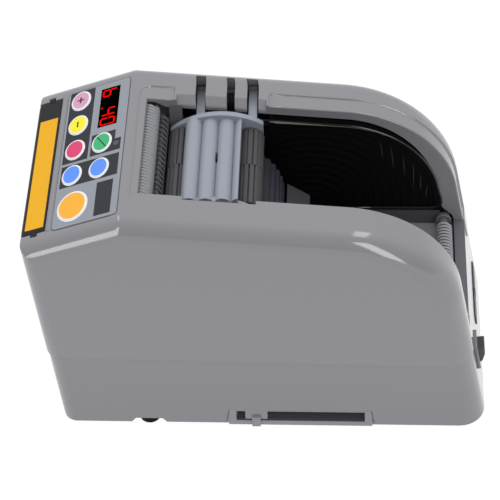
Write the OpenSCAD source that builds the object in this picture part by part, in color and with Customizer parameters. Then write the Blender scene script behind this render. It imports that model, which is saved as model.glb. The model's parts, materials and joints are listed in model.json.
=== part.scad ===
// Desktop electric tape dispenser: moulded two-part housing with an open tape well, a fluted feed
// drum under a swing-up press unit, coil-wrapped guide rods, a rotary cutter and a sloping panel.
// Front is -X, rear is +X, Z is up and the feet stand at Z = 0. All lengths are millimetres.

/* [Housing] */
// Width over the two side walls
body_w = 116; // [111:1:122]
// Reach forward to the front face's lower edge
front_reach = 106; // [104:0.5:109]
// Reach back to the rear face's lower edge
rear_reach = 116.6; // [114:0.1:119]
// Reach forward to the break between the panel and the top
break_reach = 66.6; // [66:0.2:68]
// Height of that break above the table
break_h = 151.1; // [150.4:0.1:153]
// Lean of the front face, outward going up
front_lean = 4.4; // [3.8:0.1:5.2]
// Slope of the control panel
panel_tilt = 21.5; // [20.5:0.1:22]
// Fall of the top towards the rear
top_fall = 4.8; // [4.4:0.1:5.2]
// Lean of the rear face, inward going up
rear_lean = 10.6; // [9.8:0.1:11.4]
// Radius of the rounded rear shoulder
shoulder_r = 64.6; // [61:0.1:67]
// Radius where the panel breaks into the top
break_r = 6; // [3:0.5:10]
// Radius of the nose below the panel
nose_r = 2; // [1:0.25:3]
// Radius along the top side edges
edge_r = 9; // [7:0.5:11]
// Radius of the rear upright corners
rear_corner_r = 14; // [12:0.5:16]
// Radius of the front upright corners
front_corner_r = 8; // [6:0.5:10]
// Thickness of the moulded walls
wall = 2.5; // [2:0.1:2.8]
// Height of the parting line of the housing
parting_h = 60; // [58:0.5:61]
// Step of the base inside the upper housing
base_step = 0.6; // [0.5:0.1:1.2]
// Rounding along the lower edge of the base
base_edge = 1.5; // [1:0.1:2]
// Height of the base's lower edge
skirt_h = 0.8; // [0.6:0.1:1.2]
// Height of the underside of the base floor
floor_h = 6.5; // [6.3:0.1:7]

/* [Tape well] */
// Width of the rims beside the well
rim_w = 25; // [24.6:0.1:25.4]
// Reach forward to the front edge of the well
well_front = 59; // [58.6:0.1:60]
// Width of the recessed ledge round the well
ledge_w = 9; // [7:0.5:10]
// Depth of that ledge
ledge_d = 0.8; // [0.5:0.1:1]
// Width of the ledge in front of the well
ledge_front = 4; // [3:0.5:5]
// Radius of the ledge's front corners
ledge_r = 7; // [4:0.5:8]
// Height of the lip at the side edges of the well
lip_h = 5; // [4:0.1:5.2]
// Height of the lip at the front edge of the well
front_lip_h = 3.2; // [2:0.1:3.6]
// Thickness of that lip
lip_t = 2; // [1.6:0.1:2]
// Rise of the lip's rear end over the parting line
lip_end = 3; // [2:0.1:5]
// Start of the relief in the near rim
relief_x0 = -37.5; // [-40:0.1:-36]
// Length of that relief
relief_l = 35.3; // [30:0.1:40]
// Depth of that relief
relief_d = 2.3; // [2.2:0.1:2.6]
// Thickness of the low rear wall of the well
back_wall_t = 5.6; // [5:0.1:6]
// Height of the thickened part of that wall
back_wall_h = 8; // [6:0.5:10]
// Height of the well floor above the parting line
well_floor_rise = 0.5; // [0.2:0.1:1]
// Thickness of the well floor
well_floor_t = 2.5; // [2:0.1:3]
// X of the rear edge of the sloping deck
deck_x = 23; // [21:0.1:25]
// Height of the deck's front edge above the drum's axis
deck_rise = 0.7; // [0:0.1:2]
// Slope of the deck
deck_slope = 36; // [32:0.5:40]
// Thickness of the deck and its rear plate
deck_t = 2.5; // [2:0.1:3]
// Inset of the deck's ends from the rims
deck_in = 2.5; // [1:0.1:5]
// Gap between the drum and the deck's front edge
deck_gap = 1.2; // [0.8:0.1:2]
// Space for the well liner, out to the side plate
liner_space = 3; // [2.8:0.1:3.2]
// Thickness of the well liner
liner_t = 2.2; // [1.8:0.1:2.4]
// Height of the ribs and the border on the liner
liner_rib = 0.8; // [0.5:0.1:0.8]
// Number of ribs on the liner
liner_ribs = 13; // [6:1:14]
// Pitch of the ribs
rib_pitch = 4.8; // [4.4:0.1:5]
// Width of a rib
rib_w = 1; // [0.6:0.1:1.4]
// X of the centre of the ribs' curve
rib_x = 24; // [20:0.5:28]
// Height of that centre above the well floor
rib_rise = 16; // [12:0.5:20]
// X of the liner's front edge
liner_x = -11; // [-13:0.5:8]
// Inset of the liner's top edge from the outline
liner_top_in = 7.5; // [7:0.1:9]
// Inset of the liner's rear edge from the outline
liner_rear_in = 10.5; // [10:0.1:12]
// Width of the liner's raised border
border_w = 3.2; // [2:0.1:4]
// Radius of the liner's lower rear corner
liner_corner_r = 12; // [8:0.5:14]
// Thickness of the two inner side plates
plate_t = 3; // [2.5:0.1:3.2]
// Inset of the side plates' top edge from the outline
plate_top_in = 4.8; // [4.6:0.1:5.4]
// Inset of their front and rear edges from the outline
plate_in = 8; // [7:0.5:9]
// Inset of their lower rear end from the base
plate_rear_in = 29; // [26:0.5:34]
// Height of that rear end
plate_rear_h = 50; // [48:0.5:51]

/* [Feed drum] */
// Radius over the flutes of the drum
drum_r = 34; // [33:0.1:34.2]
// X of the drum's axis
drum_x = -24; // [-24.6:0.1:-23.6]
// Height of the drum's axis
drum_h = 91.5; // [91:0.1:92]
// Number of flutes on the drum
drum_flutes = 44; // [30:1:48]
// Depth of the flutes
flute_d = 0.9; // [0.5:0.1:1.2]
// Thickness of the drum's rim
drum_rim = 4; // [3:0.25:5]
// Radius of the drum's hub
drum_hub_r = 9; // [8:0.5:11]
// Depth of the drum's hollow ends
drum_hollow = 20; // [14:0.5:24]
// Radius of the drum's shaft
drum_shaft_r = 4; // [3:0.25:5]
// Length of the shaft ends beyond what they carry
shaft_end = 1; // [0.5:0.1:2]
// Inset of the drum's near end from the rim
drum_near_in = 8; // [8:0.1:10]
// Inset of the drum's far end from the rim
drum_far_in = 5.5; // [5.5:0.1:8]

/* [Press unit] */
// Radius over the flutes of a press roller
press_r = 6.7; // [6.4:0.1:6.9]
// Number of flutes on a press roller
press_flutes = 14; // [10:1:16]
// Spread of the press rollers from the drum's axis
press_spread = 17.4; // [17.2:0.1:18]
// Gap for the tape between rollers and drum
tape_gap = 0.6; // [0.5:0.05:0.8]
// Radius of the press rollers' axles
press_axle_r = 2.5; // [2:0.1:3]
// Inset of an axle's ends from the cheeks' faces
axle_in = 0.2; // [0.1:0.05:0.4]
// Inset of the near cheek from the rim
cheek_near_in = 4.5; // [4:0.1:4.6]
// Inset of the far cheek from the rim
cheek_far_in = 2.6; // [2.4:0.1:3]
// Thickness of each cheek
cheek_t = 3; // [2.8:0.1:3]
// Radius of the cheeks' rounded top
cheek_r = 36; // [35:0.5:38]
// Height of the near cheek's top above the drum's axis
near_rise = 48; // [47.5:0.1:48.4]
// Height of the far cheek's top above the drum's axis
far_rise = 52.1; // [51:0.1:52.4]
// Shift of the far cheek's top behind the drum's axis
far_shift = 2.8; // [2:0.1:3.2]
// Half width of a cheek
cheek_half = 23.5; // [23:0.25:24]
// Height of the cheeks' lower edge above the drum's axis
cheek_low = 27; // [26.5:0.25:28]
// Gap between the drum and the cheeks' arched lower edge
arch_gap = 1.2; // [0.8:0.1:1.6]
// Number of humps on the saddle
humps = 4; // [3:1:4]
// Radius of a hump
hump_r = 4.3; // [4.2:0.05:4.5]
// Pitch of the humps
hump_pitch = 8.2; // [8:0.05:8.3]
// Lead of the first hump before the drum's axis
hump_lead = 11.1; // [10.8:0.1:11.4]
// Height of the humps' centres above the drum's axis
hump_rise = 45.4; // [45:0.1:45.6]
// Reach of the saddle's rear edge behind the drum's axis
saddle_end = 12.8; // [12:0.1:13]
// Thickness of the saddle plate under the humps' centres
saddle_t = 3.4; // [2.5:0.1:4]
// Reach of the plate into the humps
saddle_fill = 0.6; // [0.4:0.1:0.8]
// Inset of the saddle from the far cheek's face
saddle_short = 1; // [0.5:0.1:2]
// Start of the small slot in the saddle
pierce_y = -1.3; // [-3:0.1:3]
// Length of that slot
pierce_l = 7; // [4:0.1:9]
// Width of that slot
pierce_w = 1.2; // [0.8:0.1:1.5]
// Centre of the front slot in the far rim
slot1_x = -32.2; // [-33:0.1:-31.5]
// Width of the front slot
slot1_w = 5.1; // [5:0.1:5.6]
// Centre of the middle slot
slot2_x = -17; // [-18:0.1:-16]
// Width of the middle slot
slot2_w = 4.1; // [3.6:0.1:4.6]
// Centre of the rear slot
slot3_x = -5.9; // [-6.4:0.1:-5.4]
// Width of the rear slot
slot3_w = 5.8; // [5.2:0.1:6]
// Inset of the slots' far end from the side wall
slot_in = 6; // [5.7:0.1:6.2]
// Inset of the hinge pin from the side wall
hinge_in = 10; // [9.8:0.1:10.5]
// Drop of the hinge pin below the top, at the rear arm
hinge_drop = 5.8; // [5.4:0.1:6.2]
// Radius of the hinge pin
hinge_r = 1.5; // [1.25:0.05:1.75]
// Inset of the hinge pin's ends from the block's ends
pin_in = 1; // [0.5:0.1:2]
// Radius of the arms' eyes
eye_r = 3.5; // [3:0.1:3.6]
// Thickness of the arms
arm_w = 4.3; // [4:0.1:4.5]
// Drop of the arms' top edge from the far cheek's top
arm_drop = 6; // [5:0.1:8]
// Start of the raised block round the slots
block_x0 = -45; // [-45.2:0.1:-44.5]
// End of that block
block_x1 = 2; // [1.5:0.1:3]
// Height of the underside of the block
block_h = 129; // [128.6:0.1:130]
// Width of the block's sloping inner top
slope_l = 4.2; // [3.5:0.1:5]
// Depth of that slope at the edge of the well
slope_d = 6.5; // [5:0.1:7]
// Thickness left under the slope
slope_t = 1.6; // [1.2:0.1:2]
// Width of the block's inner edge, open below
slope_w = 3; // [2.5:0.1:3.2]
// Thickness of the block's end walls
block_end = 0.8; // [0.5:0.1:1.2]

/* [Guide rods] */
// X of the upper front guide rod
upper_guide_x = -57.5; // [-57.8:0.1:-57]
// Height of the upper front guide rod
upper_guide_h = 142.1; // [141.5:0.1:142.2]
// X of the middle front guide rod
middle_guide_x = -52; // [-52.5:0.1:-51.8]
// Height of the middle front guide rod
middle_guide_h = 134.8; // [134:0.1:135]
// X of the lower front guide rod
lower_guide_x = -54; // [-55:0.1:-53.5]
// Height of the lower front guide rod
lower_guide_h = 121; // [118:0.5:123]
// Height of the rear guide rod above the parting line
rear_guide_rise = 6; // [5.6:0.1:7]
// Room between the rear coil and the low rear wall
guide_room = 0.5; // [0.4:0.05:1]
// Radius of a guide rod
rod_r = 2; // [1.8:0.05:2.2]
// Mean radius of a front coil
coil_r = 3.3; // [3.2:0.05:3.4]
// Radius of a front coil's wire
wire_r = 0.55; // [0.45:0.05:0.6]
// Mean radius of the rear coil
rear_coil_r = 3.45; // [3.3:0.05:3.5]
// Radius of the rear coil's wire
rear_wire_r = 0.7; // [0.55:0.05:0.75]
// Curls on the fine upper coil
fine_curls = 27; // [12:1:28]
// Curls on the other front coils
coarse_curls = 17; // [10:1:20]
// Curls on the rear coil
rear_curls = 24; // [10:1:24]
// Thickness of the collars at the coil's ends
collar_t = 1.2; // [0.8:0.1:1.5]
// Inset of a front coil's ends from the rims
coil_in = 2; // [2:0.1:4]
// Inset of the rear coil's ends from the rims
rear_coil_in = 4; // [3.6:0.1:6]
// Wall of the ears round the rear guide rod
ear_wall = 1.6; // [1.2:0.1:1.8]

/* [Gears] */
// Tooth module of all gears
tooth_m = 1.5; // [1.5:0.01:1.52]
// Teeth on the drum gear
drum_teeth = 32; // [30:1:33]
// Teeth on the idler gear
idler_teeth = 18; // [16:1:20]
// Teeth on the feed motor's pinion
feed_pinion_teeth = 10; // [9:1:12]
// Teeth on the cutter gear
cutter_teeth = 20; // [19:1:21]
// Teeth on the cutter motor's pinion
cutter_pinion_teeth = 8; // [8:1:10]
// Width of the gears
gear_w = 5; // [4:0.25:6]
// Space between a side plate and its gears
gear_space = 2; // [1.5:0.1:2.5]
// Radius of the idler gear's pin
idler_pin_r = 2.5; // [2:0.1:3]
// Radius of the motors' shafts
motor_shaft_r = 1.5; // [1:0.1:2]
// Length of a motor shaft inside its case
motor_shaft_l = 11; // [8:0.5:14]
// Room round a motor shaft
shaft_room = 2; // [1:0.1:2.5]
// Radius of the feed motor's case
feed_motor_r = 15; // [13:0.5:16]
// Length of the feed motor's case
feed_motor_l = 42; // [36:1:50]
// Radius of the cutter motor's case
cutter_motor_r = 11; // [9:0.25:11.5]
// Length of the cutter motor's case
cutter_motor_l = 34; // [28:1:40]
// Direction of its motor below the level
cutter_turn = 45; // [42:0.5:48]

/* [Cutter] */
// X of the cutter rotor's axis
cutter_x = -95; // [-95.5:0.1:-94]
// Height of the cutter rotor's axis
cutter_h = 108; // [107.5:0.1:108.5]
// Radius of the cutter rotor's body
rotor_r = 7.5; // [7:0.1:7.8]
// Radius swept by the rotor's blade
blade_sweep = 8.6; // [8.3:0.1:8.8]
// Thickness of the blades
blade_t = 1.2; // [1:0.1:1.5]
// Length of the blades' bevel
blade_bevel = 1; // [0.6:0.1:1.4]
// Radius of the blade slot's bottom
blade_seat = 5.5; // [5:0.1:6]
// Radius of the cutter rotor's shaft
rotor_shaft_r = 3; // [2.5:0.1:3.5]
// Inset of the rotor body's ends from the side plates
rotor_in = 3; // [2:0.1:5]
// Width of the fixed blade, front to back
fixed_blade_w = 9; // [8:0.5:11]
// Thickness of the fixed blade
fixed_blade_t = 3; // [2.5:0.1:4]
// Lower edge of the tape outlet in the front face
outlet_h0 = 111; // [110:0.5:113]
// Upper edge of the tape outlet
outlet_h1 = 122; // [120:0.5:123]

/* [Panel] */
// Start of the overlay film, down the slope from the break
overlay_s0 = 1.5; // [1:0.1:2.5]
// End of the overlay film, down the slope
overlay_s1 = 36; // [35.5:0.1:36.2]
// Inset of the film's ends from the side walls
overlay_in = 10.3; // [9.8:0.1:11.5]
// Radius of the film's corners
overlay_r = 2; // [1:0.1:3]
// Thickness of the overlay film
overlay_t = 0.8; // [0.6:0.1:1]
// Height of the film above the panel
overlay_proud = 0.2; // [0.1:0.05:0.3]
// Start of the ridge below the film, down the slope
ridge_s = 36.6; // [36.5:0.1:37]
// Width of the ridge
ridge_w = 2.6; // [1.5:0.1:2.8]
// Height of the ridge
ridge_h = 0.5; // [0.3:0.1:0.8]
// Start of the front cover strip, down the slope
cover_s0 = 40; // [39.9:0.1:40.5]
// Inset of the front cover's ends from the side walls
cover_in = 11.5; // [11:0.1:13]
// Thickness of the front cover
cover_t = 2; // [1.6:0.1:2.4]
// Length of the front cover's ears
ear_l = 2; // [1.5:0.1:2.5]
// Width of those ears
ear_w = 3; // [2:0.1:4]
// Shift of the ears up the slope from the cover's middle
ear_up = 0.8; // [0:0.1:1.5]
// Thickness of the shelf under the front cover
shelf_t = 2.5; // [2:0.1:3]
// Edge of the shelf beyond the front cover
shelf_edge = 2; // [1.5:0.1:2.5]
// Lower row of keys, down the slope
low_row = 28.5; // [28:0.1:29]
// Upper row of keys, down the slope
high_row = 13.75; // [13.2:0.05:14.2]
// Inset of the first key from the film's far end
key_in = 7.8; // [7.2:0.1:8.4]
// Pitch of the keys as a share of the film's length
key_share = 0.1852; // [0.18:0.0001:0.19]
// Place of the start key down the slope
start_s = 26; // [25:0.1:27]
// Inset of the start key from the film's near end
start_in = 12.7; // [12:0.1:13.4]
// Half width of a key, down the slope
key_a = 5; // [4.6:0.1:5.2]
// Half length of a key, across
key_b = 6.3; // [5.5:0.1:6.6]
// Half width of the start key, down the slope
start_a = 7.4; // [6.5:0.1:7.8]
// Half length of the start key, across
start_b = 8.9; // [8:0.1:9.4]
// Height of the keys above the film
key_proud = 0.7; // [0.4:0.1:1]
// Travel of the keys
key_travel = 0.5; // [0.3:0.1:0.6]
// Clearance round a key
key_gap = 0.3; // [0.25:0.05:0.4]
// Depth of a key's flange below the wall
key_flange = 1; // [0.6:0.1:1.4]
// Radius of a key's stem
stem_r = 2; // [1.5:0.1:2.4]
// Rest gap between a key's stem and its switch
stem_gap = 0.2; // [0.1:0.05:0.3]
// Start of the display window, down the slope
window_s0 = 6.7; // [6.4:0.1:7]
// Width of the display window, down the slope
window_w = 10.6; // [10:0.1:11]
// Inset of the display window from the film's far end
window_in = 3.7; // [3.2:0.1:4.2]
// Length of the display window, across
window_l = 28; // [27:0.5:29]
// Inset of the display module from the window's edges
module_in = 0.5; // [0.3:0.1:1]
// Depth of the control board's top below the panel
board_d = 11; // [10.5:0.1:11.5]
// Thickness of the circuit boards
board_t = 1.6; // [1.2:0.1:2]
// Room under the control board
board_room = 2; // [1:0.1:3]
// Inset of the control board's edges from the film's
board_in = 1; // [0.5:0.1:2]
// Inset of the control board's holes
hole_in = 2.5; // [2:0.1:4]
// Radius of the holes in the control board
board_hole_r = 1.2; // [0.8:0.1:1.5]
// Height of the key switches on the board
switch_h = 4.3; // [3.8:0.1:4.6]
// Width of a key switch
switch_w = 6; // [5:0.5:7]
// Height of a key switch's plunger
plunger_h = 1; // [0.6:0.1:1.4]
// Radius of a key switch's plunger
plunger_r = 1.5; // [1.2:0.1:1.8]
// Place of the status lamp down the slope
lamp_s = 5.75; // [5.2:0.05:6]
// Inset of the status lamp from the film's far end
lamp_in = 46.1; // [44:0.1:48]
// Radius of the status lamp
lamp_r = 1.5; // [1:0.1:1.6]

/* [Base fittings] */
// Inset of the front feet from the base's front edge
front_foot_in = 46; // [42:0.5:50]
// Inset of the rear feet from the base's rear edge
rear_foot_in = 24; // [22:0.5:28]
// Inset of the front feet from the side walls
foot_side = 6.6; // [6.4:0.1:7]
// Inset of the rear feet from the side walls
rear_foot_side = 12; // [11.5:0.5:14]
// Radius of a foot
foot_r = 5.5; // [5:0.1:5.6]
// Height of a foot's pad
foot_h = 4.6; // [4:0.1:4.6]
// Radius of a foot's neck
foot_neck_r = 3; // [2:0.1:3]
// Bevel of a foot's lower edge
foot_edge = 0.8; // [0.4:0.1:1.2]
// Half length of the relief beside a front foot, at its top
notch_half = 7; // [6.6:0.1:8]
// Flare of that relief at each end of its lower edge
notch_flare = 3.3; // [2:0.1:4]
// Height of that relief
notch_h = 4.5; // [4.4:0.1:4.8]
// Front end of the slider insert
insert_x0 = -18.2; // [-20:0.1:-16]
// Length of the slider insert
insert_l = 75; // [73:0.5:78]
// Height of the top of the slider insert
insert_h = 13.2; // [13:0.1:15]
// Width of its border at the slot's ends
track_end = 4; // [2:0.1:5]
// Lower edge of the slot in the insert
track_h0 = 4.4; // [4:0.1:5]
// Upper edge of that slot
track_h1 = 12.1; // [11:0.1:12.4]
// Thickness of the slider insert
insert_t = 3; // [2.5:0.1:3.4]
// Room behind the slider insert
slider_room = 3; // [2.4:0.1:4]
// Length of the slide knob
knob_l = 11.6; // [9:0.1:13]
// Depth of the knob's face behind the insert's face
knob_sink = 0.6; // [0.3:0.1:1]
// Width of the knob's tail
knob_tail = 4.5; // [3:0.1:5]
// Height of the lower end of the knob's tail
tail_h = 0.5; // [0.4:0.1:1]
// Reach of the tail up the knob
tail_top = 3; // [2:0.1:5]
// Thickness of the tail in front of the insert
tail_t = 0.5; // [0.4:0.05:0.5]
// Gap between the tail and the insert
tail_gap = 0.4; // [0.3:0.05:0.4]
// Thickness of the keeper behind the slot
keeper_t = 1.6; // [1.2:0.1:2]
// Lap of the keeper over the slot's edges
keeper_lap = 0.6; // [0.5:0.1:0.8]
// Rest of the knob behind the slot's front end
knob_rest = 4.6; // [1:0.1:10]
// Inset of the front screws from the base's front edge
front_screw_in = 14; // [13:0.5:16]
// Inset of the rear screws from the base's rear edge
rear_screw_in = 42; // [40:0.5:46]
// Inset of the screws from the side walls
screw_side = 12.5; // [12:0.5:13.5]
// Radius of a housing screw
screw_r = 1.5; // [1.25:0.05:1.75]
// Radius of a screw head
screw_head_r = 2.8; // [2.4:0.1:3.2]
// Height of a screw head
screw_head_h = 2.4; // [2:0.1:3]
// Height of a screw head's seat above the floor
head_rise = 2; // [1.5:0.1:3]
// Length of the cross in a screw head
driver_l = 3.2; // [2.4:0.1:4]
// Width of that cross
driver_w = 0.8; // [0.6:0.1:1]
// Depth of that cross
driver_d = 0.6; // [0.4:0.1:1]
// Drop of a screw's end below the top of its boss
screw_end = 4; // [3:0.5:6]
// Radius of the screw bosses
boss_r = 4.5; // [4:0.1:5]
// Height of the tops of the upper bosses
boss_h = 78; // [74:1:82]
// Place of the power switch across the rear
switch_y = -31; // [-31.5:0.1:-30]
// Height of the power switch
switch_at_h = 33; // [31:0.5:36]
// Width of the power switch's bezel, across
bezel_w = 13; // [12:0.5:13.5]
// Height of the power switch's bezel
bezel_l = 16.5; // [15:0.5:19]
// Rim of the bezel round the rocker
bezel_rim = 1.2; // [1:0.1:1.5]
// Thickness of the bezel
bezel_t = 1.6; // [1.2:0.1:2]
// Depth of the switch body behind the wall
switch_body_d = 16; // [12:0.5:20]
// Room under the rocker in the switch body
rocker_room = 2; // [1:0.1:4]
// Tilt of the rocker between its two sides
rocker_tilt = 11; // [7:0.5:13]
// Height of the rocker's low side above the bezel
rocker_rise = 1; // [0.5:0.1:1.5]
// Place of the power inlet across the rear
inlet_y = 14.5; // [12:0.5:18]
// Height of the power inlet
inlet_at_h = 26; // [24:0.5:30]
// Width of the inlet's plate, across
inlet_plate_w = 41; // [36:0.5:44]
// Height of the inlet's plate
inlet_plate_l = 13; // [13:0.5:15]
// Thickness of the inlet's plate
inlet_plate_t = 1; // [0.6:0.1:1.4]
// Radius of the power inlet's barrel
inlet_r = 5.5; // [5:0.1:6]
// Depth of the inlet's barrel behind the wall
inlet_d = 12; // [10:0.5:16]
// Radius of the inlet's socket
socket_r = 3; // [2.5:0.1:3.5]
// Radius of the pin in the socket
socket_pin_r = 1; // [0.6:0.1:1.2]
// Thickness of the barrel's end
inlet_end = 2; // [1.5:0.1:3]
// Depth of the pin's end behind the wall's face
socket_pin_in = 2; // [1:0.1:4]
// Inset of the power board from the base's rear edge
power_board_in = 34; // [30:0.5:38]
// Length of the power board
power_board_l = 64; // [58:1:66]
// Half width of the power board
power_board_half = 28; // [24:0.5:32]
// Height of the power board above the base floor
standoff_h = 4; // [3:0.5:6]
// Radius of a standoff
standoff_r = 3; // [2.5:0.1:4]
// Inset of the standoffs from the power board's edges
standoff_in = 5; // [4:0.5:7]
// Length of the transformer on the power board
core_l = 24; // [20:0.5:28]
// Width of the transformer
core_w = 26; // [20:0.5:28]
// Height of the transformer
core_h = 20; // [16:0.5:22]
// Inset of the transformer from the board's front edge
core_in = 12; // [8:0.5:14]
// Radius of a capacitor on the power board
cap_r = 5; // [4:0.1:5.5]
// Height of a capacitor
cap_h = 18; // [12:0.5:20]
// Pitch of the capacitors
cap_pitch = 14; // [12:0.5:16]
// Inset of the capacitors from the board's rear edge
cap_in = 12; // [8:0.5:14]

/* [Fits] */
// Radial clearance of shafts that turn
run = 0.05; // [0.02:0.01:0.08]
// Clearance between seated pieces of one body
seat = 0.02; // [0.01:0.01:0.05]
// Clearance between moving pieces
gap = 0.4; // [0.3:0.05:0.4]

/* [Hidden] */
$fn = 48;
eps = 0.02;
// Length by which cuts and joined pieces run past the faces they meet.
over = 1;
far_out = 400;

// Outline of the housing in the X-Z plane, as four straight edges with outward normals.
break_pt = [-break_reach, break_h];
n_top = [sin(top_fall), cos(top_fall)];
n_panel = [-sin(panel_tilt), cos(panel_tilt)];
n_front = [-cos(front_lean), -sin(front_lean)];
n_rear = [cos(rear_lean), sin(rear_lean)];
d_top = n_top * break_pt;
d_panel = n_panel * break_pt;
d_front = n_front * [-front_reach, skirt_h];
d_rear = n_rear * [rear_reach, skirt_h];

// Crossing of two straight edges, each given by its normal and its distance.
function meet(n1, d1, n2, d2) =
    let (det = n1.x * n2.y - n1.y * n2.x)
    [(d1 * n2.y - d2 * n1.y) / det, (n1.x * d2 - n2.x * d1) / det];
function arc(c, r, a0, a1, n) =
    [for (i = [0 : n]) let (a = a0 + (a1 - a0) * i / n) c + r * [cos(a), sin(a)]];
function front_x(z, d = 0) = (d_front - d - n_front.y * z) / n_front.x;
function rear_x(z, d = 0) = (d_rear - d - n_rear.y * z) / n_rear.x;
function top_z(x) = (d_top - n_top.x * x) / n_top.y;
least_r = 0.2;
function less(r, d) = max(r - d, least_r);

// The outline drawn in by dt at the panel and top, df at the front and dr at the rear.
function outline(dt, df, dr, z0, steps = 18) =
    let (rn = less(nose_r, dt), rb = less(break_r, dt), rs = shoulder_r - (dt + dr) / 2)
    concat(
        [[front_x(z0, df), z0]],
        arc(meet(n_front, d_front - df - rn, n_panel, d_panel - dt - rn), rn,
            180 + front_lean, 90 + panel_tilt, 3),
        arc(meet(n_panel, d_panel - dt - rb, n_top, d_top - dt - rb), rb,
            90 + panel_tilt, 90 - top_fall, 3),
        arc(meet(n_top, d_top - dt - rs, n_rear, d_rear - dr - rs), rs,
            90 - top_fall, rear_lean, steps),
        [[rear_x(z0, dr), z0]]);

// Depth of an edge rounded by r at a distance y from the centre plane of a body half h wide.
function draw_in(r, y, h) = y <= h - r ? 0 : r - sqrt(max(0, r * r - pow(y - h + r, 2)));

// Shared places across the width.
half_w = body_w / 2;
well_y = half_w - rim_w;
well_w = 2 * well_y;
plate_y0 = well_y + liner_space;
plate_y1 = plate_y0 + plate_t;
gear_y0 = plate_y1 + gear_space;
gear_y1 = gear_y0 + gear_w;
ledge_y = well_y + ledge_w;
screw_y = half_w - screw_side;
base_floor = floor_h + wall;
lip_end_h = parting_h + lip_end;
well_floor_h = parting_h + well_floor_rise;
deck_half = well_y - deck_in;
coil_half = well_y - coil_in;
rear_coil_half = well_y - rear_coil_in;
rotor_half = plate_y0 - rotor_in;

// Shared places of the drum and the press unit.
press_dist = drum_r + press_r + tape_gap;
press_z = drum_h + sqrt(press_dist * press_dist - press_spread * press_spread);
press_x = [drum_x - press_spread, drum_x + press_spread];
drum_y0 = drum_near_in - well_y;
drum_y1 = well_y - drum_far_in;
cheek_y0 = cheek_near_in - well_y;
cheek_y1 = well_y - cheek_far_in;
slot_y = half_w - slot_in;
hinge_y = half_w - hinge_in;
slope_y = well_y + slope_l;
slot_x = [slot1_x, slot2_x, slot3_x];
slot_ws = [slot1_w, slot2_w, slot3_w];
arm_x = [slot1_x, slot3_x];
hinge_z = top_z(slot3_x) - hinge_drop;
plate_top = block_h - gap;

// Guide rods, X and height.
guide_at = [[upper_guide_x, upper_guide_h], [middle_guide_x, middle_guide_h],
    [lower_guide_x, lower_guide_h]];
back_wall_in = base_step + back_wall_t;
rear_guide_h = parting_h + rear_guide_rise;
rear_guide_at = [rear_x(rear_guide_h, back_wall_in) - rear_coil_r - rear_wire_r - guide_room,
    rear_guide_h];

// Gear train: drum, idler and pinion stand in one upright line.
idler_h = drum_h - tooth_m * (drum_teeth + idler_teeth) / 2;
pinion_h = idler_h - tooth_m * (idler_teeth + feed_pinion_teeth) / 2;
cutter_dist = tooth_m * (cutter_teeth + cutter_pinion_teeth) / 2;
cutter_motor_x = cutter_x + cutter_dist * cos(cutter_turn);
cutter_motor_h = cutter_h - cutter_dist * sin(cutter_turn);

// Panel places: [down the slope, across, half width, half length] of each key.
overlay_half = half_w - overlay_in;
cover_half = half_w - cover_in;
key_y0 = overlay_half - key_in;
key_pitch = 2 * overlay_half * key_share;
key_grid = [[low_row, 0], [low_row, 1], [low_row, 2], [low_row, 3], [high_row, 2], [high_row, 3]];
keys = concat([for (k = key_grid) [k[0], key_y0 - k[1] * key_pitch, key_a, key_b]],
    [[start_s, start_in - overlay_half, start_a, start_b]]);
key_foot = -board_d + switch_h + key_travel + stem_gap;
window_s1 = window_s0 + window_w;
window_y1 = overlay_half - window_in;
window_y0 = window_y1 - window_l;
lamp_y = overlay_half - lamp_in;
panel_over = 5;

// Base places: feet as [x, y], screws and the slider.
feet = [[front_foot_in - front_reach, half_w - foot_side],
    [rear_reach - rear_foot_in, half_w - rear_foot_side]];
screw_x = [front_screw_in - front_reach, rear_reach - rear_screw_in];
insert_x1 = insert_x0 + insert_l;
track_x0 = insert_x0 + track_end;
track_x1 = insert_x1 - track_end;
power_board_x1 = rear_reach - power_board_in;
power_board_x0 = power_board_x1 - power_board_l;
plate_rear_x = rear_reach - plate_rear_in;
wall_y = half_w - base_step;
slider_room_y = wall_y - insert_t - gap - slider_room;
rocker_r = bezel_l / 2 - 2 * bezel_rim - gap;

// Extrudes a shape drawn in X and Z across the width.
module across(y0, y1) {
    translate([0, y1, 0]) rotate([90, 0, 0]) linear_extrude(y1 - y0) children();
}

module both_sides() {
    children();
    mirror([0, 1, 0]) children();
}

module rod_across(x, z, r, y0, y1) {
    across(y0, y1) translate([x, z]) circle(r);
}

// Panel frame: X runs up the slope from the break, Z is square to the panel.
module on_panel() {
    translate([break_pt.x, 0, break_pt.y]) rotate([0, -panel_tilt, 0]) children();
}

module panel_box(s0, s1, y0, y1, w0, w1) {
    translate([-s1, y0, w0]) cube([s1 - s0, y1 - y0, w1 - w0]);
}

module panel_oval(key, grow, w0, w1) {
    translate([-key[0], key[1], w0]) linear_extrude(w1 - w0)
        polygon([for (i = [0 : 31]) let (a = i * 360 / 32)
            [(key[2] + grow) * cos(a), (key[3] + grow) * sin(a)]]);
}

// Outline of the film, grown by a clearance, with round corners.
module film_plan(grow) {
    x0 = -overlay_s1 - grow;
    x1 = -overlay_s0 + grow;
    y = overlay_half + grow;
    translate([x0 + overlay_r, -y]) square([x1 - x0 - 2 * overlay_r, 2 * y]);
    translate([x0, -y + overlay_r]) square([x1 - x0, 2 * y - 2 * overlay_r]);
    for (x = [x0 + overlay_r, x1 - overlay_r], side = [-1, 1])
        translate([x, side * (y - overlay_r)]) circle(overlay_r);
}

// Rear-face frame: Z is square to the rear face of the base, X runs down it, Y is across.
module on_rear(y, z) {
    translate([rear_x(z, base_step), y, z]) rotate([0, 90 - rear_lean, 0]) children();
}

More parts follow.
